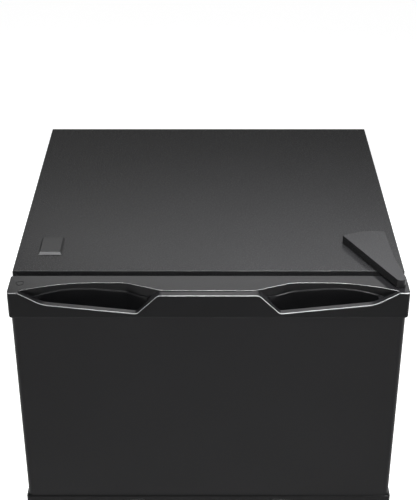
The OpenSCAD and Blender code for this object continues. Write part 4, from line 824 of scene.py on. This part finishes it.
# Lamp lens
# Acrylic moulded with a frosted face and clipped over the lamp. It spreads the light that goes through
# it, so nothing behind it shows sharply.

frosted_acrylic, shader = new_material("frosted_acrylic", {
    "Roughness": 0.5, "Transmission Weight": 0.5, "IOR": 1.49})
grain(frosted_acrylic, shader, size=1 * MM, depth=0.02 * MM,
      colours=("F3F3EE", "F8F8F4"), sheen=(0.45, 0.6))
dress("light_lens", frosted_acrylic, edge=0.4 * MM)

# Drain pan, feet and rollers
# Injection moulded black polypropylene with a mineral filler, dull and slightly greasy to the eye. The
# pan catches the melted frost, and the feet and rollers carry the cabinet.

black_pp, shader = new_material("moulded_polypropylene_black", {"Roughness": 0.5})
grain(black_pp, shader, size=1.5 * MM, depth=0.015 * MM,
      colours=("1D1D1E", "232324"), sheen=(0.45, 0.56))
for name in ("drain_pan", "foot_left", "foot_right", "rear_rollers"):
    dress(name, black_pp, edge=0.5 * MM)

# Floor and backdrop
# A plain white floor sweeps up to a round white wall, so that every view has a pale background. Camera,
# glossy and transmitted rays see both lighter than the lamps make them, less so close round the object,
# so that its shadow stays and the floor round it is darker, a painted shadow.

FLOOR_REACH = 16.0
WALL_HEIGHT = 5.0
FLOOR_LIFT = 0.8
LIFT_NEAR, LIFT_FAR = 0.5, 1.2
STAGE_WHITE = "F2F2F2"
SWEEP, SWEEP_STEPS = 3.0, 8
FLOOR_POINTS = 96
FLOOR_RINGS = (0.002, 0.5)


def stage_material(name, lift):
    """A matt white that camera, glossy and transmitted rays see lifted, less near the object: a painted
    shadow.
    """
    material, shader = new_material(name, {
        "Base Color": hex_rgb(STAGE_WHITE), "Roughness": 0.9, "Specular IOR Level": 0.0,
        "Emission Color": (1, 1, 1, 1)})
    path = add_node(material, "ShaderNodeLightPath")
    seen = add_node(material, "ShaderNodeMath", {"operation": "MAXIMUM"},
                    {0: path.outputs["Is Camera Ray"], 1: path.outputs["Is Transmission Ray"]})
    seen = add_node(material, "ShaderNodeMath", {"operation": "MAXIMUM"},
                    {0: seen.outputs[0], 1: path.outputs["Is Glossy Ray"]})
    place = add_node(material, "ShaderNodeNewGeometry")
    reach = add_node(material, "ShaderNodeVectorMath", {"operation": "LENGTH"},
                     {0: place.outputs["Position"]})
    # Less lift towards the middle darkens the floor round the object, a painted shadow
    lift_past_painted_shadow = add_node(material, "ShaderNodeMapRange", {
        "interpolation_type": "SMOOTHSTEP", "From Min": LIFT_NEAR, "From Max": LIFT_FAR, "To Max": lift},
        {"Value": reach.outputs["Value"]})
    lifted = add_node(material, "ShaderNodeMath", {"operation": "MULTIPLY"},
                      {0: seen.outputs[0], 1: lift_past_painted_shadow.outputs["Result"]})
    join(material, lifted.outputs[0], shader.inputs["Emission Strength"])
    return material


floor_white = stage_material("painted_floor_white", FLOOR_LIFT)
circle = [(FLOOR_REACH * math.cos(a), FLOOR_REACH * math.sin(a))
          for a in (math.tau * i / FLOOR_POINTS for i in range(FLOOR_POINTS))]
rows = [[(x * share, y * share, 0.0) for x, y in circle]
        for share in (*FLOOR_RINGS, 1 - SWEEP / FLOOR_REACH)]
for i in range(1, SWEEP_STEPS + 1):
    turn = math.pi / 2 * i / SWEEP_STEPS
    share = 1 - SWEEP / FLOOR_REACH * (1 - math.sin(turn))
    rows.append([(x * share, y * share, SWEEP * (1 - math.cos(turn))) for x, y in circle])
rows.append([(x, y, WALL_HEIGHT) for x, y in circle])
floor = ruled("floor_and_wall", floor_white, rows, ends=(True, False))
for polygon in floor.data.polygons:
    polygon.use_smooth = True

# Light
# An even grey sky and large soft boxes in front, at the sides and behind, all at a plain level. Over the
# top stand a key and narrow gridded strips, which draw the moulded edges, and a long strip far behind,
# which the flat tops mirror.

SKY_LEVEL = 0.2
world = bpy.data.worlds.new("studio")
bpy.context.scene.world = world
world.use_nodes = True
world.node_tree.nodes.clear()
sky = add_node(world, "ShaderNodeBackground", {"Color": (1, 1, 1, 1), "Strength": SKY_LEVEL})
add_node(world, "ShaderNodeOutputWorld", None, {"Surface": sky.outputs[0]})


def soft_box(name, place, aim, size, watts, beam_deg=180):
    """Adds a rectangular lamp at a place, aimed at a point, with a grid that narrows its beam."""
    data = bpy.data.lights.new(name, "AREA")
    data.shape = "RECTANGLE"
    data.size, data.size_y = size
    data.energy = watts
    data.spread = math.radians(beam_deg)
    lamp = bpy.data.objects.new(name, data)
    lamp.location = place
    direction = Vector(aim) - Vector(place)
    lamp.rotation_euler = direction.to_track_quat("-Z", "Y").to_euler()
    lamp.visible_camera = False
    bpy.context.scene.collection.objects.link(lamp)


# The gridded lamps aim at the front part of the top, at this height
TOP = 1.78
STRIP, SHORT_STRIP = (0.7, 0.25), (0.5, 0.25)

soft_box("key", (0.65, -0.35, 3.3), (0.3, -0.5, TOP), (0.9, 0.5), watts=10.5, beam_deg=45)
for side, high, low in ((-1, 0.2, 0.2), (0, 0.2, 0.36), (1, 0.28, 0.36)):
    soft_box(f"strip_high_{side + 2}", (0.7 * side, -1.7, 3.83), (0.3 * side, -0.35, TOP), STRIP,
             watts=high, beam_deg=24)
    soft_box(f"strip_low_{side + 2}", (0.7 * side, -2.31, 3.49), (0.3 * side, -0.37, TOP), STRIP,
             watts=low, beam_deg=22)
soft_box("cross_right", (0.63, -1.66, 3.55), (-0.31, -0.35, TOP), SHORT_STRIP, watts=0.2, beam_deg=20)
soft_box("cross_left", (-0.63, -1.66, 3.55), (0.31, -0.35, TOP), SHORT_STRIP, watts=0.27, beam_deg=20)
soft_box("strip_over", (0.1, 0.36, 3.6), (0.05, -0.42, TOP), (2.0, 0.3), watts=0.6, beam_deg=40)
soft_box("strip_over_middle", (0.0, 0.36, 3.6), (0.0, -0.36, TOP), (0.3, 0.3), watts=0.08, beam_deg=40)
soft_box("strip_rear", (0.7, 3.55, 4.22), (0.0, -0.35, TOP), (4.0, 0.45), watts=25)
for side, label in ((-1, "left"), (1, "right")):
    soft_box(f"front_{label}", (2.5 * side, -3.0, 1.6), (0, 0, 0.9), (1.5, 1.5), watts=12.5)
    soft_box(f"side_{label}", (3.2 * side, 0.3, 1.5), (0, 0, 0.9), (2.6, 2.4), watts=55)
soft_box("rear", (0.4, 3.6, 1.2), (0.0, 0.3, 0.9), (2.0, 1.4), watts=20)
